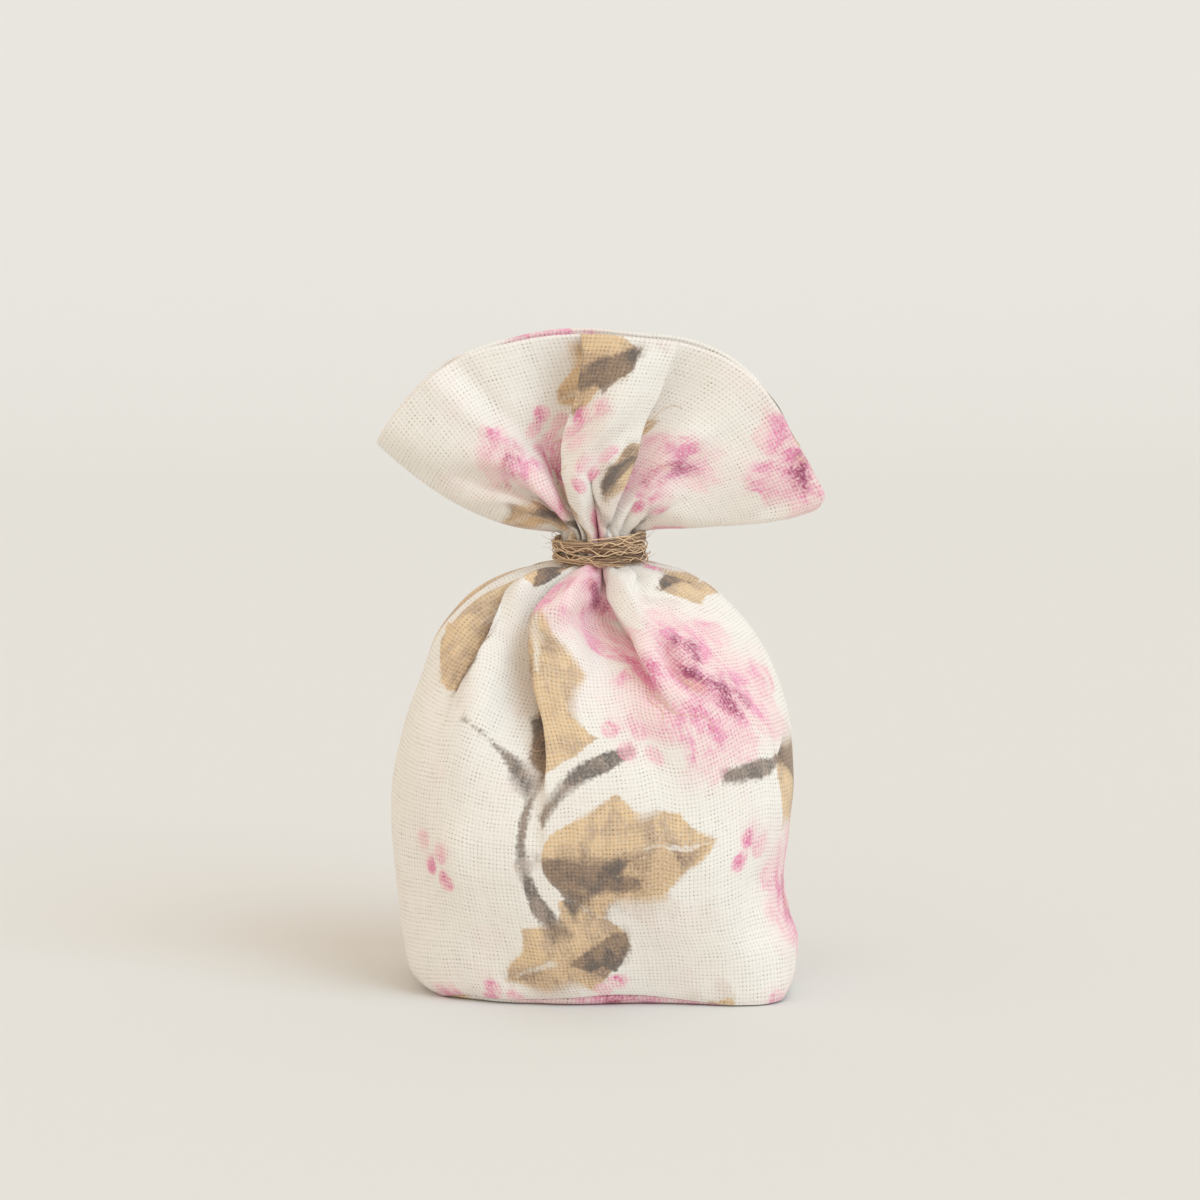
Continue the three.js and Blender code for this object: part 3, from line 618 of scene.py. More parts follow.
def mesh_object(name, points, faces, flat=None):
    """A smooth-shaded object from points in millimetres, with the cloth's flat places as UVs."""
    mesh = bpy.data.meshes.new(name)
    mesh.from_pydata((np.asarray(points) * MM).tolist(), [], faces)
    if flat is not None:
        layer = mesh.uv_layers.new(name="cloth")
        loops = np.zeros(len(mesh.loops), int)
        mesh.loops.foreach_get("vertex_index", loops)
        layer.data.foreach_set("uv", flat[loops].ravel())
    mesh.shade_smooth()
    obj = bpy.data.objects.new(name, mesh)
    bpy.context.scene.collection.objects.link(obj)
    return obj


def keep(obj, name, values):
    """Keep a number for each point of a mesh, which its material reads by name."""
    kept = obj.data.attributes.new(name, "FLOAT", "POINT")
    kept.data.foreach_set("value", np.asarray(values, np.float32))


def turned(u, v, at, turn):
    """Places seen from a motif's own middle, along and across its own direction."""
    along, across = cos(radians(turn)), sin(radians(turn))
    du, dv = u - at[0], v - at[1]
    return du * along + dv * across, dv * along - du * across


def leaf(u, v, at, turn, long, wide, bend=0.0, side=0):
    """Signed distance into a leaf with pointed lobes, or into its half beside the midrib."""
    x, y = turned(u, v, at, turn)
    t = np.clip(x / long, 0, 1)
    y = y - bend * long * t * (1 - t)
    lobe = 1 - np.abs(np.sin(pi * ((x - 0.5 * np.abs(y)) / long * 2.4 + 0.3 * np.sign(y) + turn)))
    half = wide / 2 * np.sin(pi * t**0.75) ** 0.75 * (0.82 + 0.44 * lobe)
    inside = half - np.abs(y)
    if side:
        inside = np.minimum(inside + 0.3, side * y + 0.04 * wide)
    return np.minimum(inside, np.minimum(x, long - x) + 0.4)


def petal(u, v, at, turn, long, wide):
    """Signed distance into one petal, narrow at the flower's middle and notched at its rim."""
    x, y = turned(u, v, at, turn)
    t = np.clip(x / long, 0, 1.3)
    half = wide / 2 * np.sqrt(np.clip(t, 0, 1)) * np.sqrt(np.clip(1.16 - t, 0, 1) / 0.6)
    rim = long * (1 - 0.09 * np.cos(np.clip(y / wide, -0.5, 0.5) * tau) ** 4) - x
    return np.minimum(np.minimum(half - np.abs(y), rim), x + 0.3)


def disc(u, v, at, radius):
    """Signed distance into a round spot."""
    return radius - np.hypot(u - at[0], v - at[1])


def stem(u, v, ends, bend, width):
    """Signed distance into a curved stem between two places."""
    (ax, ay), (bx, by) = ends
    long = np.hypot(bx - ax, by - ay)
    x, y = turned(u, v, (ax, ay), np.degrees(np.arctan2(by - ay, bx - ax)))
    t = np.clip(x / long, 0, 1)
    y = y - bend * long * 4 * t * (1 - t)
    brush = width * (0.62 - 0.42 * t + 0.2 * np.sin(5 * t + bx))
    return np.minimum(brush - np.abs(y), np.minimum(x, long - x) + 0.3)


# One repeat of the print, in millimetres of flat cloth. Leaves: place of the stalk's end, turn,
# length, width, bend and the side that is darker. Flowers: middle, turn and radius. Buds: middle.
# Stems: both ends, bend and width.
REPEAT = (134.0, 128.0)
LEAVES = (
    ((46, 46), 74, 34, 21, 0.1, 1), ((47, 30), 4, 34, 20, -0.1, -1),
    ((18, 57), 106, 29, 18, 0.1, -1), ((98, 43), -38, 27, 16, 0.1, 1),
    ((33, 84), 128, 22, 13, -0.1, -1), ((72, 112), 62, 20, 11, 0.1, 1),
    ((20, 104), 148, 20, 12, 0.1, -1), ((62, 15), 202, 27, 16, -0.1, 1),
    ((122, 66), 80, 28, 17, 0.1, -1), ((100, 84), -12, 20, 11, 0.1, 1),
    ((44, 100), 60, 17, 9, -0.1, -1), ((124, 18), 120, 24, 13, 0.1, 1),
)
FLOWERS = (
    ((86, 61), 50, 20), ((64, 90), 84, 16), ((34, 115), 10, 11.5), ((103, 17), 64, 11.5),
    ((92, 121), 15, 10.5), ((124, 108), 30, 13), ((20, 124), 0, 7),
)
BUDS = (
    (66, 50), (69.5, 53), (64, 54.5), (71, 48.5), (23, 25), (26.5, 27.5), (21, 29.5), (27, 22.5),
    (62, 119), (65.5, 116.5), (60, 114.5), (67, 121), (98, 113), (101.5, 110.5), (96, 108.5),
    (110, 92), (113, 94.5), (88, 30), (91, 27.5), (86, 26.5), (55, 2), (58.5, 4), (54, 126.5),
    (57.5, 124), (33, 3), (36.5, 1), (31, 0), (35, 126),
)
STEMS = (
    (((50, 14), (46, 47)), 0.14, 3.2), (((44, 42), (26, 52)), -0.1, 2.2),
    (((47, 37), (67, 50)), 0.1, 3.0), (((84, 43), (99, 43)), -0.12, 3.0),
    (((52, 20), (66, 25)), 0.12, 3.4), (((52, 86), (36, 84)), -0.12, 2.6),
    (((78, 102), (66, 114)), 0.14, 3.0), (((26, 106), (44, 99)), -0.12, 2.8),
    (((110, 99), (100, 110)), 0.12, 2.6), (((122, 44), (124, 68)), 0.1, 3.6),
)
# Where each piece was cut from the printed cloth
CUT_AT = {"front": (0, 0), "back": (50, 0), "base": (25, 112)}


def spray(u, v):
    """Signed distances in millimetres of each dye's motifs in one repeat of the print."""
    pink, rose, plum, ochre, tan, grey, bare = [], [], [], [], [], [], []
    for at, turn, long, wide, bend, dark in LEAVES:
        ochre.append(leaf(u, v, at, turn, long, wide, bend))
        tan.append(leaf(u, v, at, turn, 0.96 * long, 0.98 * wide, bend, dark))
        grey.append(leaf(u, v, at, turn + 6 * dark, 0.5 * long, 0.66 * wide, bend, dark))
        along, across = cos(radians(turn)), sin(radians(turn))
        ends = [(at[0] + t * long * along, at[1] + t * long * across) for t in (0.6, 0.97)]
        bare.append(stem(u, v, ends, bend * 0.25, 0.9))
    for at, turn, radius in FLOWERS:
        for k in range(5):
            way = turn + 72 * k + 9 * sin(k * 2.4 + turn)
            long = radius * (1 + 0.12 * sin(k * 1.9 + turn))
            pink.append(petal(u, v, at, way, long, 1.15 * radius))
            if k % 2:
                rose.append(petal(u, v, at, way + 14, 0.9 * long, 0.5 * radius))
        for k in range(2):
            rose.append(petal(u, v, at, turn + 40 + 150 * k, 0.42 * radius, 0.42 * radius))
        # The heart: an ochre eye, with plum running from it into two petals
        ochre.append(disc(u, v, (at[0] + 0.7, at[1] - 0.5), 0.12 * radius))
        plum.append(petal(u, v, at, turn - 100, 0.6 * radius, 0.46 * radius))
        plum.append(petal(u, v, at, turn, 0.55 * radius, 0.36 * radius))
    # A bud is a single touch of the brush, so its edge is sharper than a petal's
    pink += [3 * disc(u, v, at, 1.8) for at in BUDS]
    rose += [3 * disc(u, v, (x + 0.4, y + 0.3), 1.6) for x, y in BUDS]
    grey += [stem(u, v, ends, bend, width) for ends, bend, width in STEMS]
    groups = dict(pink=pink, rose=rose, plum=plum, ochre=ochre, tan=tan, grey=grey, bare=bare)
    return {name: np.max(motifs, axis=0) for name, motifs in groups.items()}


def print_on(obj, flat, cut_at):
    """Keep on a mesh how deep each of its points lies in the motifs of each dye."""
    across, down = REPEAT
    best = {}
    u, v = (flat[:, 0] + cut_at[0]) % across, (flat[:, 1] + cut_at[1]) % down
    for du in (-across, 0, across):
        for dv in (-down, 0, down):
            for name, values in spray(u - du, v - dv).items():
                best[name] = np.maximum(best.get(name, values), values)
    for name, values in best.items():
        keep(obj, name, np.clip(values, -9, 9))


def neck_place(sizes):
    """Where the neck's axis stands. The frame's origin is under the whole pouch's middle."""
    low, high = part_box("base_panel")
    own_middle = (BASE_RIGHT_SHARE * sizes.body_right - BASE_LEFT_SHARE * sizes.body_left) / 2
    return ((low[0] + high[0]) / 2 - own_middle) / MM


PANELS = {}


def both_panels(sizes):
    """The front's and the back's Panel, made once for all the pieces that lie against them."""
    if not PANELS:
        PANELS.update({side: Panel(side, sizes, neck_place(sizes)) for side in ("front", "back")})
    return PANELS


# The mouth's inside: steps round the hem, and how far below the facing's end the neck closes, in
# millimetres
HEM_STEPS, NECK_CLOSES = 6, 4.5


def panel_object(side, sizes):
    """One panel: up the outside, over the folded hem and down the inside of the ruffle."""
    panel = both_panels(sizes)[side]
    outer, inner, v = panel.outer, panel.inner, panel.v
    hem, facing = sizes.hem_thickness / MM, sizes.facing / MM
    rise = unit(outer[-1] - outer[-2])
    rows, along = list(outer), list(v)
    middle = (outer[-1] + inner[-1]) / 2
    across = outer[-1] - middle
    for angle in np.linspace(0, pi, HEM_STEPS + 1)[1:]:
        rows.append(middle + across * cos(angle) + rise * sin(angle) * hem / 2)
        along.append(v[-1] + hem / 2 * angle)
    inside = np.flatnonzero((panel.parts == "ruffle") & (v[-1, 0] - v[:, 0] < facing))[::-1][2::2]
    for i in inside:
        step = np.linalg.norm(inner[i][COLUMNS // 2] - rows[-1][COLUMNS // 2])
        along.append(along[-1] + step)
        rows.append(inner[i])
    # At the tie the gathered folds fill the neck
    last, tip = rows[-1], (panel.neck_x, 0, rows[-1][:, 2].mean() - NECK_CLOSES)
    for share in (0.25, 0.5, 0.75, 0.95):
        rows.append(last + (tip - last) * (share, share, share**1.5))
        along.append(along[-1] + 2)
    points, along = np.stack(rows), np.stack(along)
    across = panel.u[0] if side == "front" else 2 * sizes.cut_width / MM - panel.u[0]
    flat = np.stack([np.broadcast_to(across, along.shape), along], -1).reshape(-1, 2)
    faces = grid_faces(*points.shape[:2], side == "back")
    obj = mesh_object(f"{side}_cloth", points.reshape(-1, 3), faces, flat)
    print_on(obj, flat, CUT_AT[side])
    return obj


class POUCH_OT_panels(bpy.types.Operator):
    """Make the front and the back panel"""

    bl_idname = "pouch.panels"
    bl_label = "Panels"

    def execute(self, context):
        sizes = context.scene.pouch_cloth
        PANELS.clear()  # the sizes may have been changed since
        for side in ("front", "back"):
            obj = panel_object(side, sizes)
            obj.data.materials.append(printed_linen())
            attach(obj, "root")
            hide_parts(f"{side}_panel")
            deep = both_panels(sizes)[side].v[-1, 0] * MM + sizes.facing
        return {"FINISHED"}


def base_ring(sizes):
    """The ring of the base seam, round the front and back, in millimetres."""
    front, back = (both_panels(sizes)[side].outer[0] for side in ("front", "back"))
    return np.concatenate([front[:-1], back[::-1][:-1]])


def drawn_in(ring, inset):
    """A ring drawn in by a distance towards the neck's axis."""
    middle = ring.mean(axis=0)
    away = ring - middle
    away[:, 2] = 0
    return ring - unit(away) * inset


def base_flat(points, count):
    """Flat places of the base's cloth, measured outward along its surface."""
    rings = points[:-1].reshape(-1, count, 3)[::-1]
    step = np.diff(rings, axis=0)
    climb = np.linalg.norm(step, axis=2) - np.linalg.norm(step[..., :2], axis=2)
    climb = np.concatenate([np.zeros((1, count)), np.cumsum(climb, axis=0)])
    outward = unit((rings[-1] - points[-1]) * (1, 1, 0))[None, :, :2]
    flat = rings[..., :2] + outward * climb[..., None]
    return np.concatenate([flat[::-1].reshape(-1, 2), points[-1:, :2]]) + (60, -30)


# The base's cloth from its seam inward: how far it is drawn in and how high it lies, in
# millimetres, with what share of the seam's own height
ROLL_UNDER = (
    (0.5, 0, 1), (0.4, 0, 0.8), (0.6, 0, 0.55), (1, 0.05, 0.25), (1.7, 0.08, 0.06), (2.8, 0.1, 0),
    (5, 0.12, 0), (9, 0.14, 0), (14, 0.15, 0), (20, 0.15, 0),
)


class POUCH_OT_base(bpy.types.Operator):
    """Make the base panel, which rolls under from its seam and lies on the floor"""

    bl_idname = "pouch.base"
    bl_label = "Base"

    def execute(self, context):
        sizes = context.scene.pouch_cloth
        seam = base_ring(sizes)
        rings = []
        for inset, height, share in ROLL_UNDER:
            ring = drawn_in(seam, inset)
            ring[:, 2] = height + share * seam[:, 2]
            rings.append(ring)
        middle = np.append(seam.mean(axis=0)[:2], height)
        rings += [middle + (ring - middle) * share for share in (0.75, 0.5, 0.25)]
        points = np.concatenate([*rings, [middle]])
        count, tip = len(seam), len(points) - 1
        faces = [face[::-1] for face in ring_faces(len(rings), count)]
        faces += fan(range(tip - count, tip)[::-1], tip)
        flat = base_flat(points, count)
        obj = mesh_object("base_cloth", points, faces, flat)
        print_on(obj, flat, CUT_AT["base"])
        obj.data.materials.append(printed_linen())
        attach(obj, "root")
        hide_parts("base_panel")
        return {"FINISHED"}


# The filling, in millimetres: cloth from the tie down to it, its gap to the cloth's outside, its
# underside, and its dome as shares of its top ring with how far up they lie
FILLING_STARTS, FILLING_GAP, FILLING_FLOOR = 31, 1.9, 1.2
DOME = ((0.86, 2), (0.68, 4.5), (0.46, 6.5), (0.24, 7.5))


class POUCH_OT_filling(bpy.types.Operator):
    """Make the dried filling, a lumpy heap that lies against the cloth from inside"""

    bl_idname = "pouch.filling"
    bl_label = "Filling"

    def execute(self, context):
        sizes = context.scene.pouch_cloth
        front, back = both_panels(sizes)["front"], both_panels(sizes)["back"]
        inside = (front.parts == "body") & (front.from_tie > FILLING_STARTS)
        random = np.random.default_rng(5)
        bins = 96
        angle = np.arange(bins) / bins * tau - pi
        middle = base_ring(sizes).mean(axis=0)
        rings = []
        for row in np.flatnonzero(inside)[1::3]:
            away = np.concatenate([front.outer[row], back.outer[row]]) - middle
            around = np.round((np.arctan2(away[:, 1], away[:, 0]) + pi) / tau * bins).astype(int)
            apart = np.abs((around - np.arange(bins)[:, None] + bins / 2) % bins - bins / 2)
            near = np.where(apart <= 2, np.hypot(away[:, 0], away[:, 1]), np.inf).min(axis=1)
            reach = near - FILLING_GAP - random.uniform(0, 0.5, bins)
            height = np.full(bins, away[:, 2].mean() + middle[2])
            rings.append(np.stack([reach * np.cos(angle), reach * np.sin(angle), height], 1))
        top = rings[-1]
        for share, up in DOME:
            ring = top * (share, share, 1) + (0, 0, up)
            rings.append(ring + random.uniform(-0.4, 0.4, ring.shape))
        floor = rings[0] * (0.96, 0.96, 1)
        floor[:, 2] = FILLING_FLOOR
        rings.insert(0, floor)
        points = np.concatenate(
            [[[0, 0, FILLING_FLOOR]], *rings, [[0, 0, rings[-1][:, 2].mean() + 0.3]]]
        ) + (middle[0], middle[1], 0)
        tip = len(points) - 1
        faces = fan(range(1, 1 + bins)[::-1], 0) + ring_faces(len(rings), bins, 1)
        faces += fan(range(tip - bins, tip), tip)
        obj = mesh_object("dried_filling", points, faces)
        obj.data.materials.append(dried_stuffing())
        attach(obj, "root")
        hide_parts("filling")
        return {"FINISHED"}


# The twine's route, as in the solids: the places of its two ends in twine diameters, across to
# +X, up, and out from the knot's middle. Each end leaves the winding, makes one bight of the reef
# knot and droops as a tail.
LEFT_LEAVE_SHARES = (
    (-4.2, -1.3, -3.5), (-4, -1.22, -2.4), (-3.95, -0.85, -1.45), (-3.9, -0.1, -0.6),
    (-3.6, 0.5, 0.2), (-3, 0.76, 0.62),
)
HALF_BIGHT_SHARES = (
    (-2.2, 0.8, 0.7), (-1.4, 0.85, 0.3), (-0.7, 1.1, -0.4), (0, 1.6, -0.85), (0.7, 2.15, -0.48),
    (1.4, 2.3, 0.15), (2.15, 1.7, 0.64), (2.55, 0.8, 0.7),
)
BIGHT_END_SHARES = (2.62, 0, 0.7)
LEFT_TAIL_SHARES = (
    (-3, -1.05, 0.8), (-3.75, -1.75, 1.05), (-4.35, -2.7, 1.4), (-4.85, -3.8, 1.9), (-5.1, -5, 2.5),
)
RIGHT_LEAVE_SHARES = ((4.15, 1.36, -3.5), (3.8, 1.34, -2.4), (3.4, 1.15, -1.6), (2.9, 0.9, -1))
RIGHT_TAIL_SHARES = (
    (3, -1.05, -0.5), (3.7, -1.75, 0), (4.2, -2.7, 0.7), (4.6, -3.8, 1.5), (4.8, -5, 2.3),
)
KNOT_HALF_DEPTH, KNOT_CLEARANCE = 1.35, 0.45  # twine diameters, and millimetres
# How far each turn tilts up on the right and sags in front, in millimetres, and how close the
# pulled turns lie, as a share of their pitch
TURN_TILTS, TURN_SAGS, PULLED = (0.15, -0.3, 0.7), (-0.1, -0.1, 0.6), 0.86
LEAVE_ANGLE, CLIMB_ANGLE = pi / 3, pi / 4.5


def smooth_line(points, step):
    """Evenly spaced points on a smooth curve through some points."""
    points = np.asarray(points, float)
    padded = np.concatenate([[2 * points[0] - points[1]], points, [2 * points[-1] - points[-2]]])
    t = np.linspace(0, 1, 24, endpoint=False)[:, None]
    dense = []
    for a, b, c, d in zip(padded, padded[1:], padded[2:], padded[3:]):
        dense.append(
            0.5 * (2 * b + (c - a) * t + (2 * a - 5 * b + 4 * c - d) * t**2
                   + (3 * b - a - 3 * c + d) * t**3)
        )
    dense = np.concatenate([*dense, points[-1:]])
    run = run_along(dense)
    places = np.linspace(0, run[-1], round(run[-1] / step) + 1)
    return np.stack([np.interp(places, run, dense[:, k]) for k in range(3)], 1)


def twine_route(twine, neck_x):
    """The middle line of the twine, in millimetres, from one tail's end to the other's."""
    across = twine.diameter / MM
    radius = twine.radius / MM
    pitch = across + twine.turn_gap / MM
    middle = twine.middle_height / MM
    turns = twine.turns
    sweep = tau * turns - 2 * LEAVE_ANGLE
    angle = LEAVE_ANGLE + np.linspace(0, sweep, round(sweep / tau * 24) + 1)
    turn = np.round(angle / tau)
    past = (angle - tau * turn + CLIMB_ANGLE) / (2 * CLIMB_ANGLE)
    climbing = (turn > 0) & (turn < turns)
    level = np.clip(turn - 1 + np.where(climbing, eased(past), 0), 0, turns - 1)
    height = middle + PULLED * pitch * (level - (turns - 1) / 2)
    own = np.clip((angle / tau).astype(int), 0, turns - 1)
    tilt, sag = (np.resize(amounts, turns)[own] for amounts in (TURN_TILTS, TURN_SAGS))
    height = height - tilt * np.sin(angle) - sag * (1 - np.cos(angle)) / 2
    winding = np.stack([-radius * np.sin(angle), radius * np.cos(angle), height], 1)
    knot = (0, radius + across / 2 + KNOT_CLEARANCE + KNOT_HALF_DEPTH * across, middle)

    def place(shares):
        return [
            (knot[0] + a * across, knot[1] + out * across, knot[2] + up * across)
            for a, up, out in shares
        ]

    bight = [*HALF_BIGHT_SHARES, BIGHT_END_SHARES]
    bight += [(a, -up, out) for a, up, out in reversed(HALF_BIGHT_SHARES)]
    other = [(-a, up, -out) for a, up, out in bight]
    left = place([*LEFT_LEAVE_SHARES, *bight, *LEFT_TAIL_SHARES])
    right = place([*RIGHT_LEAVE_SHARES, *other, *RIGHT_TAIL_SHARES])
    route = np.concatenate([left[::-1], winding, right])
    route[:, 0] += neck_x
    return smooth_line(route, 0.35)


def frames_along(line):
    """Two directions square to a line and to each other at each of its points, without twist."""
    tangent = unit(np.gradient(line, axis=0))
    side = np.array([0.0, 0.0, 1.0])
    sides = np.empty_like(line)
    for i, t in enumerate(tangent):
        side = side - t * side.dot(t)
        side = side / np.linalg.norm(side)
        sides[i] = side
    return sides, np.cross(tangent, sides)


def tube(line, radius, sides):
    """Points and faces of a closed tube round a line; radius may vary along it."""
    across, beside = frames_along(line)
    angle = np.arange(sides) / sides * tau
    radius = np.broadcast_to(radius, len(line))[:, None, None]
    ring = across[:, None] * np.cos(angle)[:, None] + beside[:, None] * np.sin(angle)[:, None]
    points = (line[:, None] + ring * radius).reshape(-1, 3)
    ends = [*range(sides)][::-1], [*range(len(points) - sides, len(points))]
    return points, [*ring_faces(len(line), sides), *ends]


def tube_object(name, fibres):
    """A jute piece of many tubes, from the path, radius, sides and tone of each."""
    points, faces, tones = [], [], []
    start = 0
    for path, radius, sides, tone in fibres:
        own_points, own_faces = tube(path, radius, sides)
        points.append(own_points)
        faces += [[i + start for i in face] for face in own_faces]
        tones += [tone] * len(own_points)
        start += len(own_points)
    obj = mesh_object(name, np.concatenate(points), faces)
    keep(obj, "tone", tones)
    obj.data.materials.append(jute())
    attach(obj, "root")
    return obj


# How many locks the yarn has, fibres side by side in each lock, curls, fibres across the turns,
# short hairs, and fibres that it has shed on the cloth
LOCKS, LOCK_FIBRES, CURLS, CROSSINGS, HAIRS, SHED = 7, 10, 34, 22, 330, 9
# In shares of the yarn's diameter: the radius of its core, how far the middle of each lock lies
# from the yarn's, and how far a lock's fibres lie from the middle of the lock
CORE_SHARE, LOCK_SHARE, LOCK_SPREAD_SHARE = 0.34, 0.33, 0.16
# Round the neck the soft yarn is pressed flat: how much flatter and how much taller it gets
FLATTER, TALLER = 0.22, 1.16


class Yarn:
    """The twine's yarn in millimetres: its middle line, and the fibres that are laid round it.

    Each kind of fibre is given as the path, radius, sides and tone of one fibre after another.
    """

    def __init__(self, twine, neck_x, random):
        self.random, self.neck_x = random, neck_x
        self.lay, self.size, self.radius = twine.lay / MM, twine.diameter / MM, twine.radius / MM
        self.line = twine_route(twine, neck_x)
        self.run = run_along(self.line)
        self.across, self.beside = frames_along(self.line)
        from_axis = self.line - (neck_x, 0, 0)
        self.out = unit(from_axis * (1, 1, 0))
        reach = np.linalg.norm(from_axis[:, :2], axis=1)
        self.pressed = (1 - eased((reach - self.radius) / (0.6 * self.size)))[:, None]
        half = PULLED * (twine.turns - 1) / 2 * (twine.diameter + twine.turn_gap) / MM
        half += 0.3 * self.size
        self.lowest, self.highest = (twine.middle_height / MM + way * half for way in (-1, 1))

    def laid(self, angle, lift, part):
        """A path round the yarn's middle line, pressed flat with it."""
        out, pressed = self.out[part], self.pressed[part]
        away = self.across[part] * (np.cos(angle) * lift)[:, None]
        away = away + self.beside[part] * (np.sin(angle) * lift)[:, None]
        away = away - FLATTER * pressed * out * (away * out).sum(1)[:, None]
        away[:, 2] *= 1 + (TALLER - 1) * pressed[:, 0]
        return self.line[part] + away

    def wander(self, run, short, long):
        """A slow wave along a run, between -1 and 1, that seldom repeats."""
        waves, turns = self.random.uniform(short, long, 2), self.random.uniform(0, tau, 2)
        return 0.5 * sum(np.sin(tau * run / wave + turn) for wave, turn in zip(waves, turns))

    def locks(self):
        """Fibres of the locks, which wind loosely about each other, with their ends a little up."""
        random, run = self.random, self.run
        for lock in range(LOCKS):
            turn = tau * run / self.lay * random.choice((0.12, 0.2, 0.32)) + tau * lock / LOCKS
            turn = turn + 0.6 * self.wander(run, 24, 60)
            core = LOCK_SHARE * self.size * (1 + 0.15 * self.wander(run, 14, 36))
            lock_tone = random.uniform(0.0, 0.45)
            for _ in range(LOCK_FIBRES):
                start = -random.uniform(0, 60)
                own = random.uniform(0, tau)
                far = LOCK_SPREAD_SHARE * self.size * random.uniform(0.2, 1) ** 0.5
                while start < run[-1]:
                    end = start + random.uniform(40, 110)
                    part = np.flatnonzero((run >= start) & (run <= end))[::2]
                    start = end - random.uniform(2, 10)
                    if len(part) < 8:
                        continue
                    here = run[part]
                    spin = own + tau * here / 60 + 0.6 * self.wander(here, 18, 44)
                    x, y = core[part] + far * np.cos(spin), far * np.sin(spin)
                    loose = np.exp(-(here - here[0]) / 1.4) + np.exp(-(here[-1] - here) / 1.4)
                    lift = np.hypot(x, y) * (1 + 0.3 * loose * random.uniform(0, 1))
                    lift = np.abs(lift + 0.03 * self.wander(here, 6, 14))
                    path = self.laid(turn[part] + np.arctan2(y, x), lift, part)
                    radius = random.uniform(0.06, 0.13)
                    yield path, radius, 5, np.clip(lock_tone + random.normal(0, 0.3), -0.15, 1.1)

    def curls(self):
        """Single fibres that have worked loose and lie in curls on the yarn."""
        random = self.random
        for _ in range(CURLS):
            long = random.uniform(8, 28)
            start = random.uniform(0, self.run[-1] - long)
            part = np.flatnonzero((self.run >= start) & (self.run <= start + long))
            here = self.run[part]
            angle = random.uniform(0, tau) + tau * here / random.uniform(12, 60)
            angle = angle + 0.8 * self.wander(here, 4, 12)
            lift = self.size * (0.54 + 0.08 * (1 + self.wander(here, 4, 10)))
            path = self.laid(angle, lift, part)
            yield path, random.uniform(0.07, 0.12), 5, random.uniform(1.0, 1.6)

    def crossings(self):
        """Fibres that lie across the turns, or stand off them in a bow."""
        random, t = self.random, np.linspace(0, 1, 26)
        for _ in range(CROSSINGS):
            angle = random.uniform(0, tau) + random.uniform(0.5, 2) * t
            arc = angle * self.radius
            height = random.uniform(self.lowest, self.highest)
            height = height + random.uniform(-1.5, 1.5) * (2 * t - 1) + 0.7 * self.wander(arc, 3, 9)
            bow = max(random.normal(0, 0.5), 0) * np.sin(pi * t)
            reach = self.radius + self.size * (0.44 + 0.07 * (1 + self.wander(arc, 2, 6))) + bow
            path = np.stack([self.neck_x - reach * np.sin(angle), reach * np.cos(angle), height], 1)
            yield path, random.uniform(0.06, 0.11), 5, random.uniform(1.0, 1.6)

    def hairs(self):
        """Ends of broken fibres that stand off the yarn and thin out."""
        random, line, t = self.random, self.line, np.linspace(0, 1, 16)[:, None]
        for _ in range(HAIRS):
            at = random.integers(6, len(line) - 6)
            away = unit(self.across[at] * random.normal() + self.beside[at] * random.normal())
            along = unit(line[at + 1] - line[at - 1]) * random.choice([-1, 1])
            long = random.uniform(1.5, 4) if random.random() < 0.75 else random.uniform(4, 8)
            bend, curl = unit(random.normal(size=(2, 3))) * random.uniform(0.1, 0.42, (2, 1))
            path = (
                line[at] + away * self.size * 0.42
                + long * (along * t * 0.8 + away * t**1.4 * random.uniform(0.05, 0.6)
                          + bend * t**2 + curl * np.sin(t * random.uniform(3, 8)) * t * 0.4)
            )
            radius = random.uniform(0.03, 0.06) * (1.1 - 0.6 * t[:, 0])
            yield path, radius, 4, random.uniform(0.5, 1.1)

    def shed(self, panel):
        """Single fibres that the twine has shed and that lie on a panel's cloth below it."""
        random, lifted = self.random, panel.outer + 0.12 * panel.outward(panel.outer)
        tie, steps = np.argmax(panel.parts != "body"), 30
        for _ in range(SHED):
            step = random.uniform(6, 15) / steps
            way = random.uniform(0, tau) + random.uniform(1, 3) * np.sin(np.linspace(0, 3, steps))
            away = random.uniform(14, 46) * random.choice((-1, -1, 1))
            i = tie + (min(away, 28) + np.cumsum(np.sin(way)) * step) / ROW_STEP
            j = random.uniform(0.3, 0.72) * COLUMNS + np.cumsum(np.cos(way)) * step / panel.u[0, 1]
            row, side = i.astype(int), j.astype(int)
            a, b = (i - row)[:, None], (j - side)[:, None]
            path = (
                (1 - a) * ((1 - b) * lifted[row, side] + b * lifted[row, side + 1])
                + a * ((1 - b) * lifted[row + 1, side] + b * lifted[row + 1, side + 1])
            )
            yield path, random.uniform(0.035, 0.055), 4, random.uniform(1.0, 1.5)


class POUCH_OT_twine(bpy.types.Operator):
    """Make the jute twine: loosely spun locks of fibres, broken fibres and loose hairs"""

    bl_idname = "pouch.twine"
    bl_label = "Twine"

    def execute(self, context):
        sizes = context.scene.pouch_cloth
        yarn = Yarn(context.scene.pouch_twine, neck_place(sizes), np.random.default_rng(31))
        # Painted shade: the core takes the darkest tone, so the gaps between the locks show dark
        core = (yarn.line, CORE_SHARE * yarn.size, 8, 0.0)
        obj = tube_object("jute_twine", [core, *yarn.locks(), *yarn.curls(), *yarn.crossings()])
        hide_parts("tie_twine")
        tube_object("jute_hairs", [*yarn.hairs(), *yarn.shed(both_panels(sizes)["front"])])
        return {"FINISHED"}


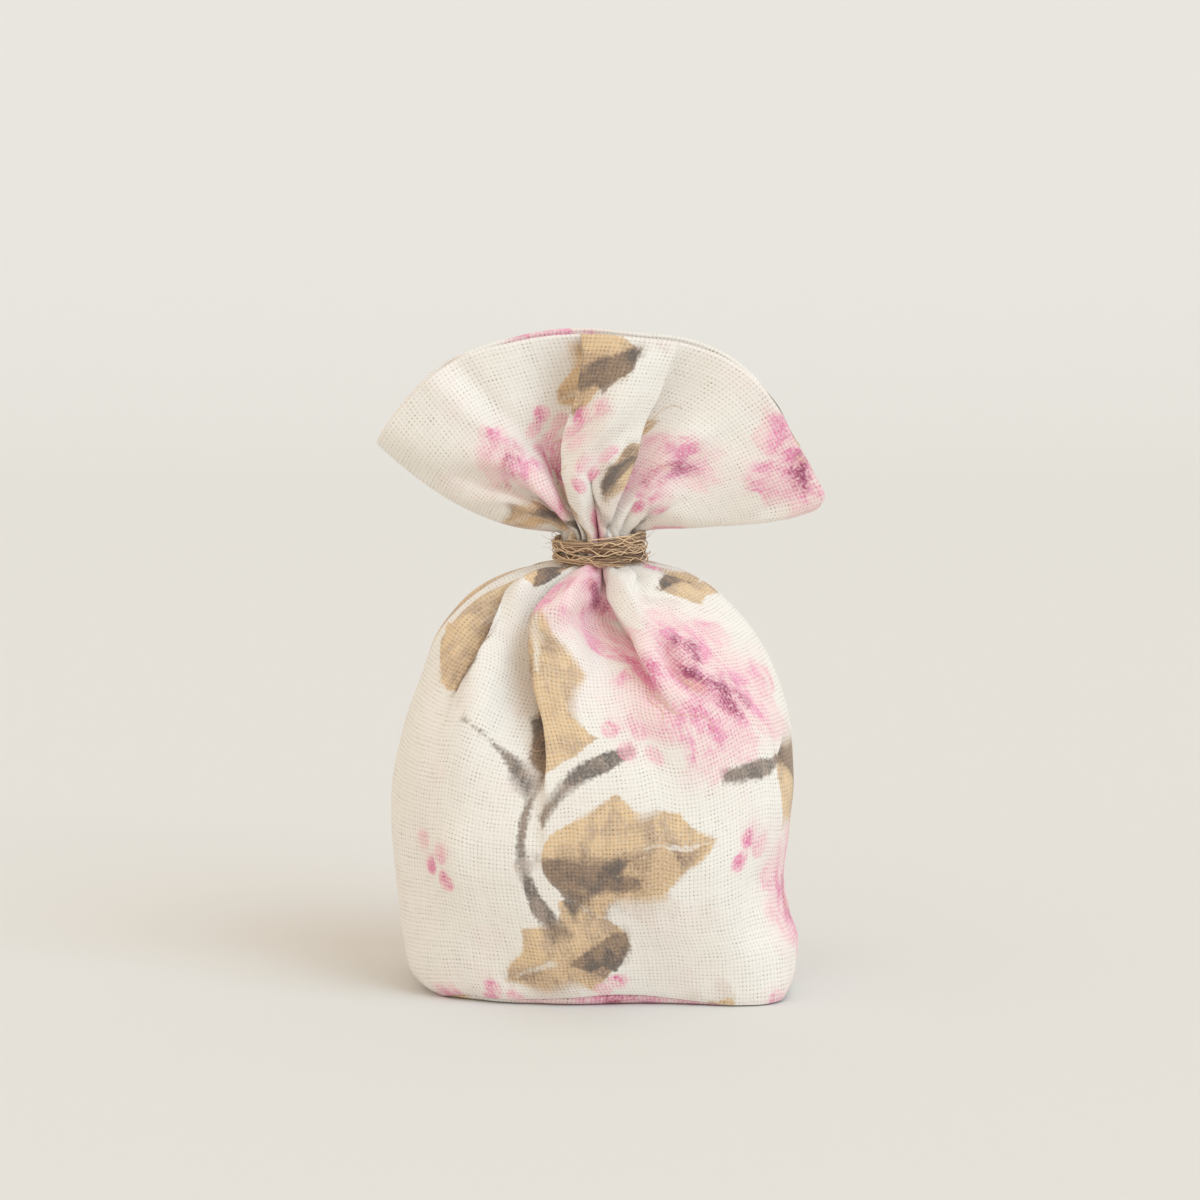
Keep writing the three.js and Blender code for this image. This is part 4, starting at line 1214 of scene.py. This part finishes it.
def add(tree, kind, *inputs, out=0, **settings):
    """Add a node with its settings, and its inputs by order or by name, and give an output."""
    node = tree.nodes.new("ShaderNode" + kind)
    for name, value in settings.items():
        setattr(node, name, value)
    for i, given in enumerate(inputs):
        for key, value in (given if isinstance(given, dict) else {i: given}).items():
            if isinstance(value, bpy.types.NodeSocket):
                tree.links.new(value, node.inputs[key])
            else:
                node.inputs[key].default_value = value
    return node.outputs[out] if len(node.outputs) else None


def material(name):
    """Let a function that gives a surface's inputs give the material of this name, made once."""

    def of_surface(surface):
        @wraps(surface)
        def made_once():
            made = bpy.data.materials.get(name)
            if not made:
                made = bpy.data.materials.new(name)
                made.use_nodes = True
                made.node_tree.nodes.clear()
                node = partial(add, made.node_tree)
                node("OutputMaterial", {"Surface": node("BsdfPrincipled", surface(node))})
            return made

        return made_once

    return of_surface


THREAD = 0.76  # millimetres from one thread of the linen to the next

# Uneven places of the cloth and its dyes: size of the spots in millimetres across and along the
# cloth, then detail and roughness of the noise
LINEN_SPOTS = {
    "warp sway": (2.2, 7, 2, 0.6), "weft sway": (7, 2.2, 2, 0.6),
    "warp tone": (THREAD, 16 * THREAD, 1, 0.4), "weft tone": (16 * THREAD, THREAD, 1, 0.4),
    "open": (2.6, 2.6, 3, 0.7), "wander": (7, 7, 5, 0.55), "tooth": (THREAD, THREAD, 1, 0.5),
    "pool": (11, 9, 3, 0.5), "brush": (3.2, 5.4, 3, 0.55), "grain": (0.55, 0.55, 2, 0.6),
    "crisp": (13, 13, 2, 0.5),
}


# What the noise of some of these is multiplied by, what is added to it, and if it is clamped
SPOT_LEVELS = {
    "open": (1.1, -0.06, False), "wander": (4.6, -2.3, False), "tooth": (1.1, -0.55, False),
    "crisp": (4.2, -1.3, False), "pool": (3.0, -1.0, True), "brush": (3.4, -1.2, True),
}

# The dyes in the order in which they were laid: motif, colours where thin and where strong, width
# of the soft edge and how far it wanders, least cover, most cover, and how much the grain shows
DYES = (
    ("pink", "blush", "blush", 8.0, 1, 0.3, 0.75, 0.2),
    ("ochre", "ochre", "tan", 0.7, 0.55, 0.82, 0.94, 0.2),
    ("tan", "tan", "umber", 3.0, 0.8, 0.55, 0.9, 0.5),
    ("grey", "umber", "grey", 0.8, 0.35, 0.85, 0.96, 0.15),
    ("pink", "blush", "pink", 1.2, 0.9, 0.55, 0.9, 0.55),
    ("rose", "pink", "deep_pink", 3.2, 0.9, 0.2, 0.6, 0.75),
    ("plum", "deep_pink", "plum", 1.6, 0.5, 0.35, 0.9, 0.6),
    ("bare", "cloth", "cloth", 0.6, 0.3, 0.6, 0.9, 0.4),
)


@material("Linen, plain-woven and printed")
def printed_linen(node):
    """Plain-woven linen of thick uneven threads, printed in watery dyes.

    The eye sees matt threads that cross over and under with a small hole at each corner,
    thicker slubs here and there, and print that is grainy where the dye only caught the crowns.
    Shade is painted into the colour: darker in the valleys between the crowns and in the holes.
    """
    colours = bpy.context.scene.pouch_colours
    flat = node("UVMap", uv_map="cloth")
    spots = {}
    for i, (name, (across, along, detail, roughness)) in enumerate(LINEN_SPOTS.items()):
        place = node("Mapping", flat, {1: (7.3 * i, 2.9 * i, 0), 3: (1 / across, 1 / along, 1)})
        spots[name] = node(
            "TexNoise", {"Vector": place, "Scale": 1, "Detail": detail, "Roughness": roughness},
            noise_dimensions="2D",
        )
    for name, (gain, more, clamp) in SPOT_LEVELS.items():
        spots[name] = node(
            "Math", spots[name], gain, more, operation="MULTIPLY_ADD", use_clamp=clamp
        )

    # Two sets of threads sway a little, and where their waves have one sign the warp is on top
    waves, crowns = [], []
    for i, sway in enumerate(("warp sway", "weft sway")):
        straight = node("SeparateXYZ", flat, out=i)
        place = node("Math", spots[sway], 0.5, straight, operation="MULTIPLY_ADD")
        turn = node("Math", place, pi / THREAD, operation="MULTIPLY")
        waves.append(node("Math", turn, operation="SINE"))
        crowns.append(node("Math", waves[i], operation="ABSOLUTE"))
    crossing = node("Math", *waves, operation="MULTIPLY")
    warp_over = node("Math", crossing, 6, 0.5, operation="MULTIPLY_ADD", use_clamp=True)
    heights, gaps = [], []
    for crown, rise in zip(crowns, (0.4, -0.4)):
        round_top = node("Math", crown, 0.5, operation="POWER")
        level = node("Math", crossing, rise, operation="MULTIPLY")
        heights.append(node("Math", round_top, 0.6, level, operation="MULTIPLY_ADD"))
        gaps.append(node("Math", 1, crown, operation="SUBTRACT"))
    height = node("Math", *heights, operation="MAXIMUM")
    tone = node("Mix", warp_over, {2: spots["weft tone"], 3: spots["warp tone"]})
    corner = node("Math", *gaps, operation="MULTIPLY")
    corner = node("Math", corner, 1.2, operation="POWER")
    hole = node("Math", corner, spots["open"], operation="SUBTRACT")
    hole = node("Math", hole, 5.0, operation="MULTIPLY", use_clamp=True)

    # Dyes: each motif's depth inside its edge is kept on the mesh. The edge wanders a little and
    # steps from thread to thread, and between the crowns the dye takes more of its strong colour
    # and covers more.
    crisp = node("Math", spots["crisp"], 0.25, operation="MAXIMUM")
    caught = node("Math", height, 0.9, -2.7, operation="MULTIPLY_ADD")
    grain = node("Math", spots["grain"], 5.2, caught, operation="MULTIPLY_ADD")
    between = node("Math", height, -0.8, 0.62, operation="MULTIPLY_ADD")
    strength = node("Math", spots["pool"], spots["brush"], operation="MULTIPLY")
    strength = node("Math", strength, 1.4, between, operation="MULTIPLY_ADD", use_clamp=True)
    shade = colours.cloth
    for motif, thin, strong, feather, ragged, least, most, grainy in DYES:
        deep = node("Attribute", attribute_name=motif, out=2)
        edge = node("Math", spots["wander"], ragged, spots["tooth"], operation="MULTIPLY_ADD")
        deep = node("Math", deep, edge, operation="ADD")
        deep = node("Math", deep, crisp, operation="MULTIPLY")
        inside = node("Math", deep, 1 / feather, 0.5, operation="MULTIPLY_ADD", use_clamp=True)
        ends = {6: getattr(colours, thin), 7: getattr(colours, strong)}
        dye = node("Mix", strength, ends, out=2, data_type="RGBA")
        cover = node("Math", strength, most - least, least, operation="MULTIPLY_ADD")
        fine = node(
            "Math", grain, grainy, 1 - 0.75 * grainy, operation="MULTIPLY_ADD", use_clamp=True
        )
        cover = node("Math", cover, fine, operation="MULTIPLY")
        cover = node("Math", cover, inside, operation="MULTIPLY")
        shade = node("Mix", cover, {6: shade, 7: dye}, out=2, data_type="RGBA")
    lit = node("Math", tone, 0.1, 0.9, operation="MULTIPLY_ADD")
    lit = node("Math", spots["grain"], 0.06, lit, operation="MULTIPLY_ADD")
    # Painted light and shade: the threads' crowns are a little lighter and the valleys between them
    # darker
    painted_valley_shade = node("Math", height, 0.08, 0.94, operation="MULTIPLY_ADD")
    level = node("Math", lit, painted_valley_shade, operation="MULTIPLY")
    level = node("CombineColor", level, level, level)
    # Painted shade in the holes: the colour is darkened towards the gaps colour, which stands in
    # for the shade seen through them
    seen = node("Math", hole, 0.9, operation="MULTIPLY")
    for share, darker in ((1.0, level), (seen, colours.gaps)):
        shade = node(
            "Mix", share, {6: shade, 7: darker}, out=2, data_type="RGBA", blend_type="MULTIPLY"
        )
    raised = node("Math", tone, 0.5, height, operation="MULTIPLY_ADD")
    raised = node("Math", raised, hole, operation="SUBTRACT")
    # The crowns stand a fifth of a thread proud of the gaps
    bump = node("Bump", {"Strength": 0.32, "Distance": 0.2 * THREAD * MM, "Height": raised})
    return {
        "Base Color": shade, "Roughness": 0.88, "IOR": 1.5, "Sheen Weight": 0.12,
        "Sheen Roughness": 0.6, "Normal": bump,
    }


@material("Jute, spun")
def jute(node):
    """Jute spun into loose yarn: coarse fibres from straw to brown, with a dull shine."""
    colours = bpy.context.scene.pouch_colours
    tone = node("Attribute", attribute_name="tone", out=2)
    patch = node(
        "TexNoise", {"Vector": node("TexCoord", out=3), "Scale": 1 / (1.1 * MM), "Detail": 3}
    )
    mixed = node("Math", patch, 0.35, tone, operation="MULTIPLY_ADD")
    shade = node(
        "Mix", node("Math", mixed, -0.15, operation="ADD", use_clamp=True),
        {6: colours.twine_dark, 7: colours.twine}, out=2, data_type="RGBA",
    )
    bump = node("Bump", {"Strength": 0.3, "Distance": 0.1 * MM, "Height": patch})
    return {"Base Color": shade, "Roughness": 0.65, "IOR": 1.5, "Sheen Weight": 0.2, "Normal": bump}


@material("Dried flowers, crumbled")
def dried_stuffing(node):
    """Dried flower heads, crumbled: dull grey-violet crumbs, seen only through the cloth."""
    crumb = 2.4 * MM
    crumbs = node("TexVoronoi", {"Vector": node("TexCoord", out=3), "Scale": 1 / crumb})
    shade = node(
        "Mix", crumbs, {6: linear("5a5066"), 7: linear("8f8577")}, out=2, data_type="RGBA"
    )
    bump = node("Bump", {"Strength": 0.8, "Distance": crumb / 4, "Height": crumbs})
    return {"Base Color": shade, "Roughness": 0.95, "Normal": bump}


@material("Backdrop paper, uncoated")
def backdrop_paper(_node):
    """Uncoated paper, rolled: an even matt surface that keeps the soft shadow."""
    shade = bpy.context.scene.pouch_colours.backdrop
    return {"Base Color": shade, "Roughness": 1, "Specular IOR Level": 0.1}


class POUCH_OT_stage(bpy.types.Operator):
    """Make the seamless backdrop, the lights and the camera"""

    bl_idname = "pouch.stage"
    bl_label = "Stage"

    def execute(self, context):
        scene = context.scene
        scene.view_settings.view_transform = "Standard"
        bend, near, far, tall, half_width = 900, -1600, 900, 2400, 2600
        run = [(near, 0), (far, 0)]
        run += [
            (far + bend * sin(a), bend * (1 - cos(a))) for a in np.linspace(0, pi / 2, 33)[1:]
        ]
        run.append((far + bend, tall))
        points = [(x, y, z) for y, z in run for x in (-half_width, half_width)]
        faces = [(2 * i, 2 * i + 1, 2 * i + 3, 2 * i + 2) for i in range(len(run) - 1)]
        backdrop = mesh_object("backdrop", points, faces)
        backdrop.data.materials.append(backdrop_paper())
        backdrop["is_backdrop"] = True
        camera = bpy.data.cameras.new("camera")
        camera.sensor_fit = "HORIZONTAL"
        camera.angle = radians(14.6)
        eye = bpy.data.objects.new("camera", camera)
        scene.collection.objects.link(eye)
        elevation, distance = radians(7.5), 0.9
        target = Vector((0, 0, 0.0743))
        eye.location = target + Vector((0, -cos(elevation), sin(elevation))) * distance
        eye.rotation_euler = (target - eye.location).to_track_quat("-Z", "Y").to_euler()
        scene.camera = eye
        sun = bpy.data.lights.new("window light", "SUN")
        sun.energy, sun.angle = 1.2, radians(40)
        sun.color = linear("c6e7ff")[:3]
        lamp = bpy.data.objects.new("window light", sun)
        toward = Vector((0.62, -0.58, 0.8))
        lamp.rotation_euler = toward.to_track_quat("Z", "Y").to_euler()
        scene.collection.objects.link(lamp)
        world = scene.world or bpy.data.worlds.new("world")
        scene.world = world
        world.use_nodes = True
        sky = world.node_tree.nodes["Background"].inputs
        sky[0].default_value, sky[1].default_value = linear("fff0de"), 0.945
        return {"FINISHED"}


class POUCH_PT_sidebar(bpy.types.Panel):
    """The pouch's sizes, colours and pieces"""

    bl_idname = "POUCH_PT_sidebar"
    bl_label = "Pouch"
    bl_space_type = "VIEW_3D"
    bl_region_type = "UI"
    bl_category = "Pouch"

    def draw(self, context):
        for group in (context.scene.pouch_cloth, context.scene.pouch_twine,
                      context.scene.pouch_colours):
            box = self.layout.box()
            for name in group.__annotations__:
                box.prop(group, name)
        for operator in OPERATORS:
            self.layout.operator(operator.bl_idname)


OPERATORS = (
    POUCH_OT_panels, POUCH_OT_base, POUCH_OT_filling, POUCH_OT_twine, POUCH_OT_stage,
)
CLASSES = (PouchCloth, PouchColours, PouchTwine, *OPERATORS, POUCH_PT_sidebar)


def register():
    for made in CLASSES:
        bpy.utils.register_class(made)
    bpy.types.Scene.pouch_cloth = PointerProperty(type=PouchCloth)
    bpy.types.Scene.pouch_twine = PointerProperty(type=PouchTwine)
    bpy.types.Scene.pouch_colours = PointerProperty(type=PouchColours)


def unregister():
    del bpy.types.Scene.pouch_cloth, bpy.types.Scene.pouch_twine, bpy.types.Scene.pouch_colours
    for made in reversed(CLASSES):
        bpy.utils.unregister_class(made)


def main():
    register()
    bpy.ops.pouch.panels()
    bpy.ops.pouch.base()
    bpy.ops.pouch.filling()
    bpy.ops.pouch.twine()
    bpy.ops.pouch.stage()
    boxes = {"cad": frame_box, "visual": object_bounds()}
    {name: [list(corner) for corner in box] for name, box in boxes.items()}


if __name__ == "__main__":
    main()
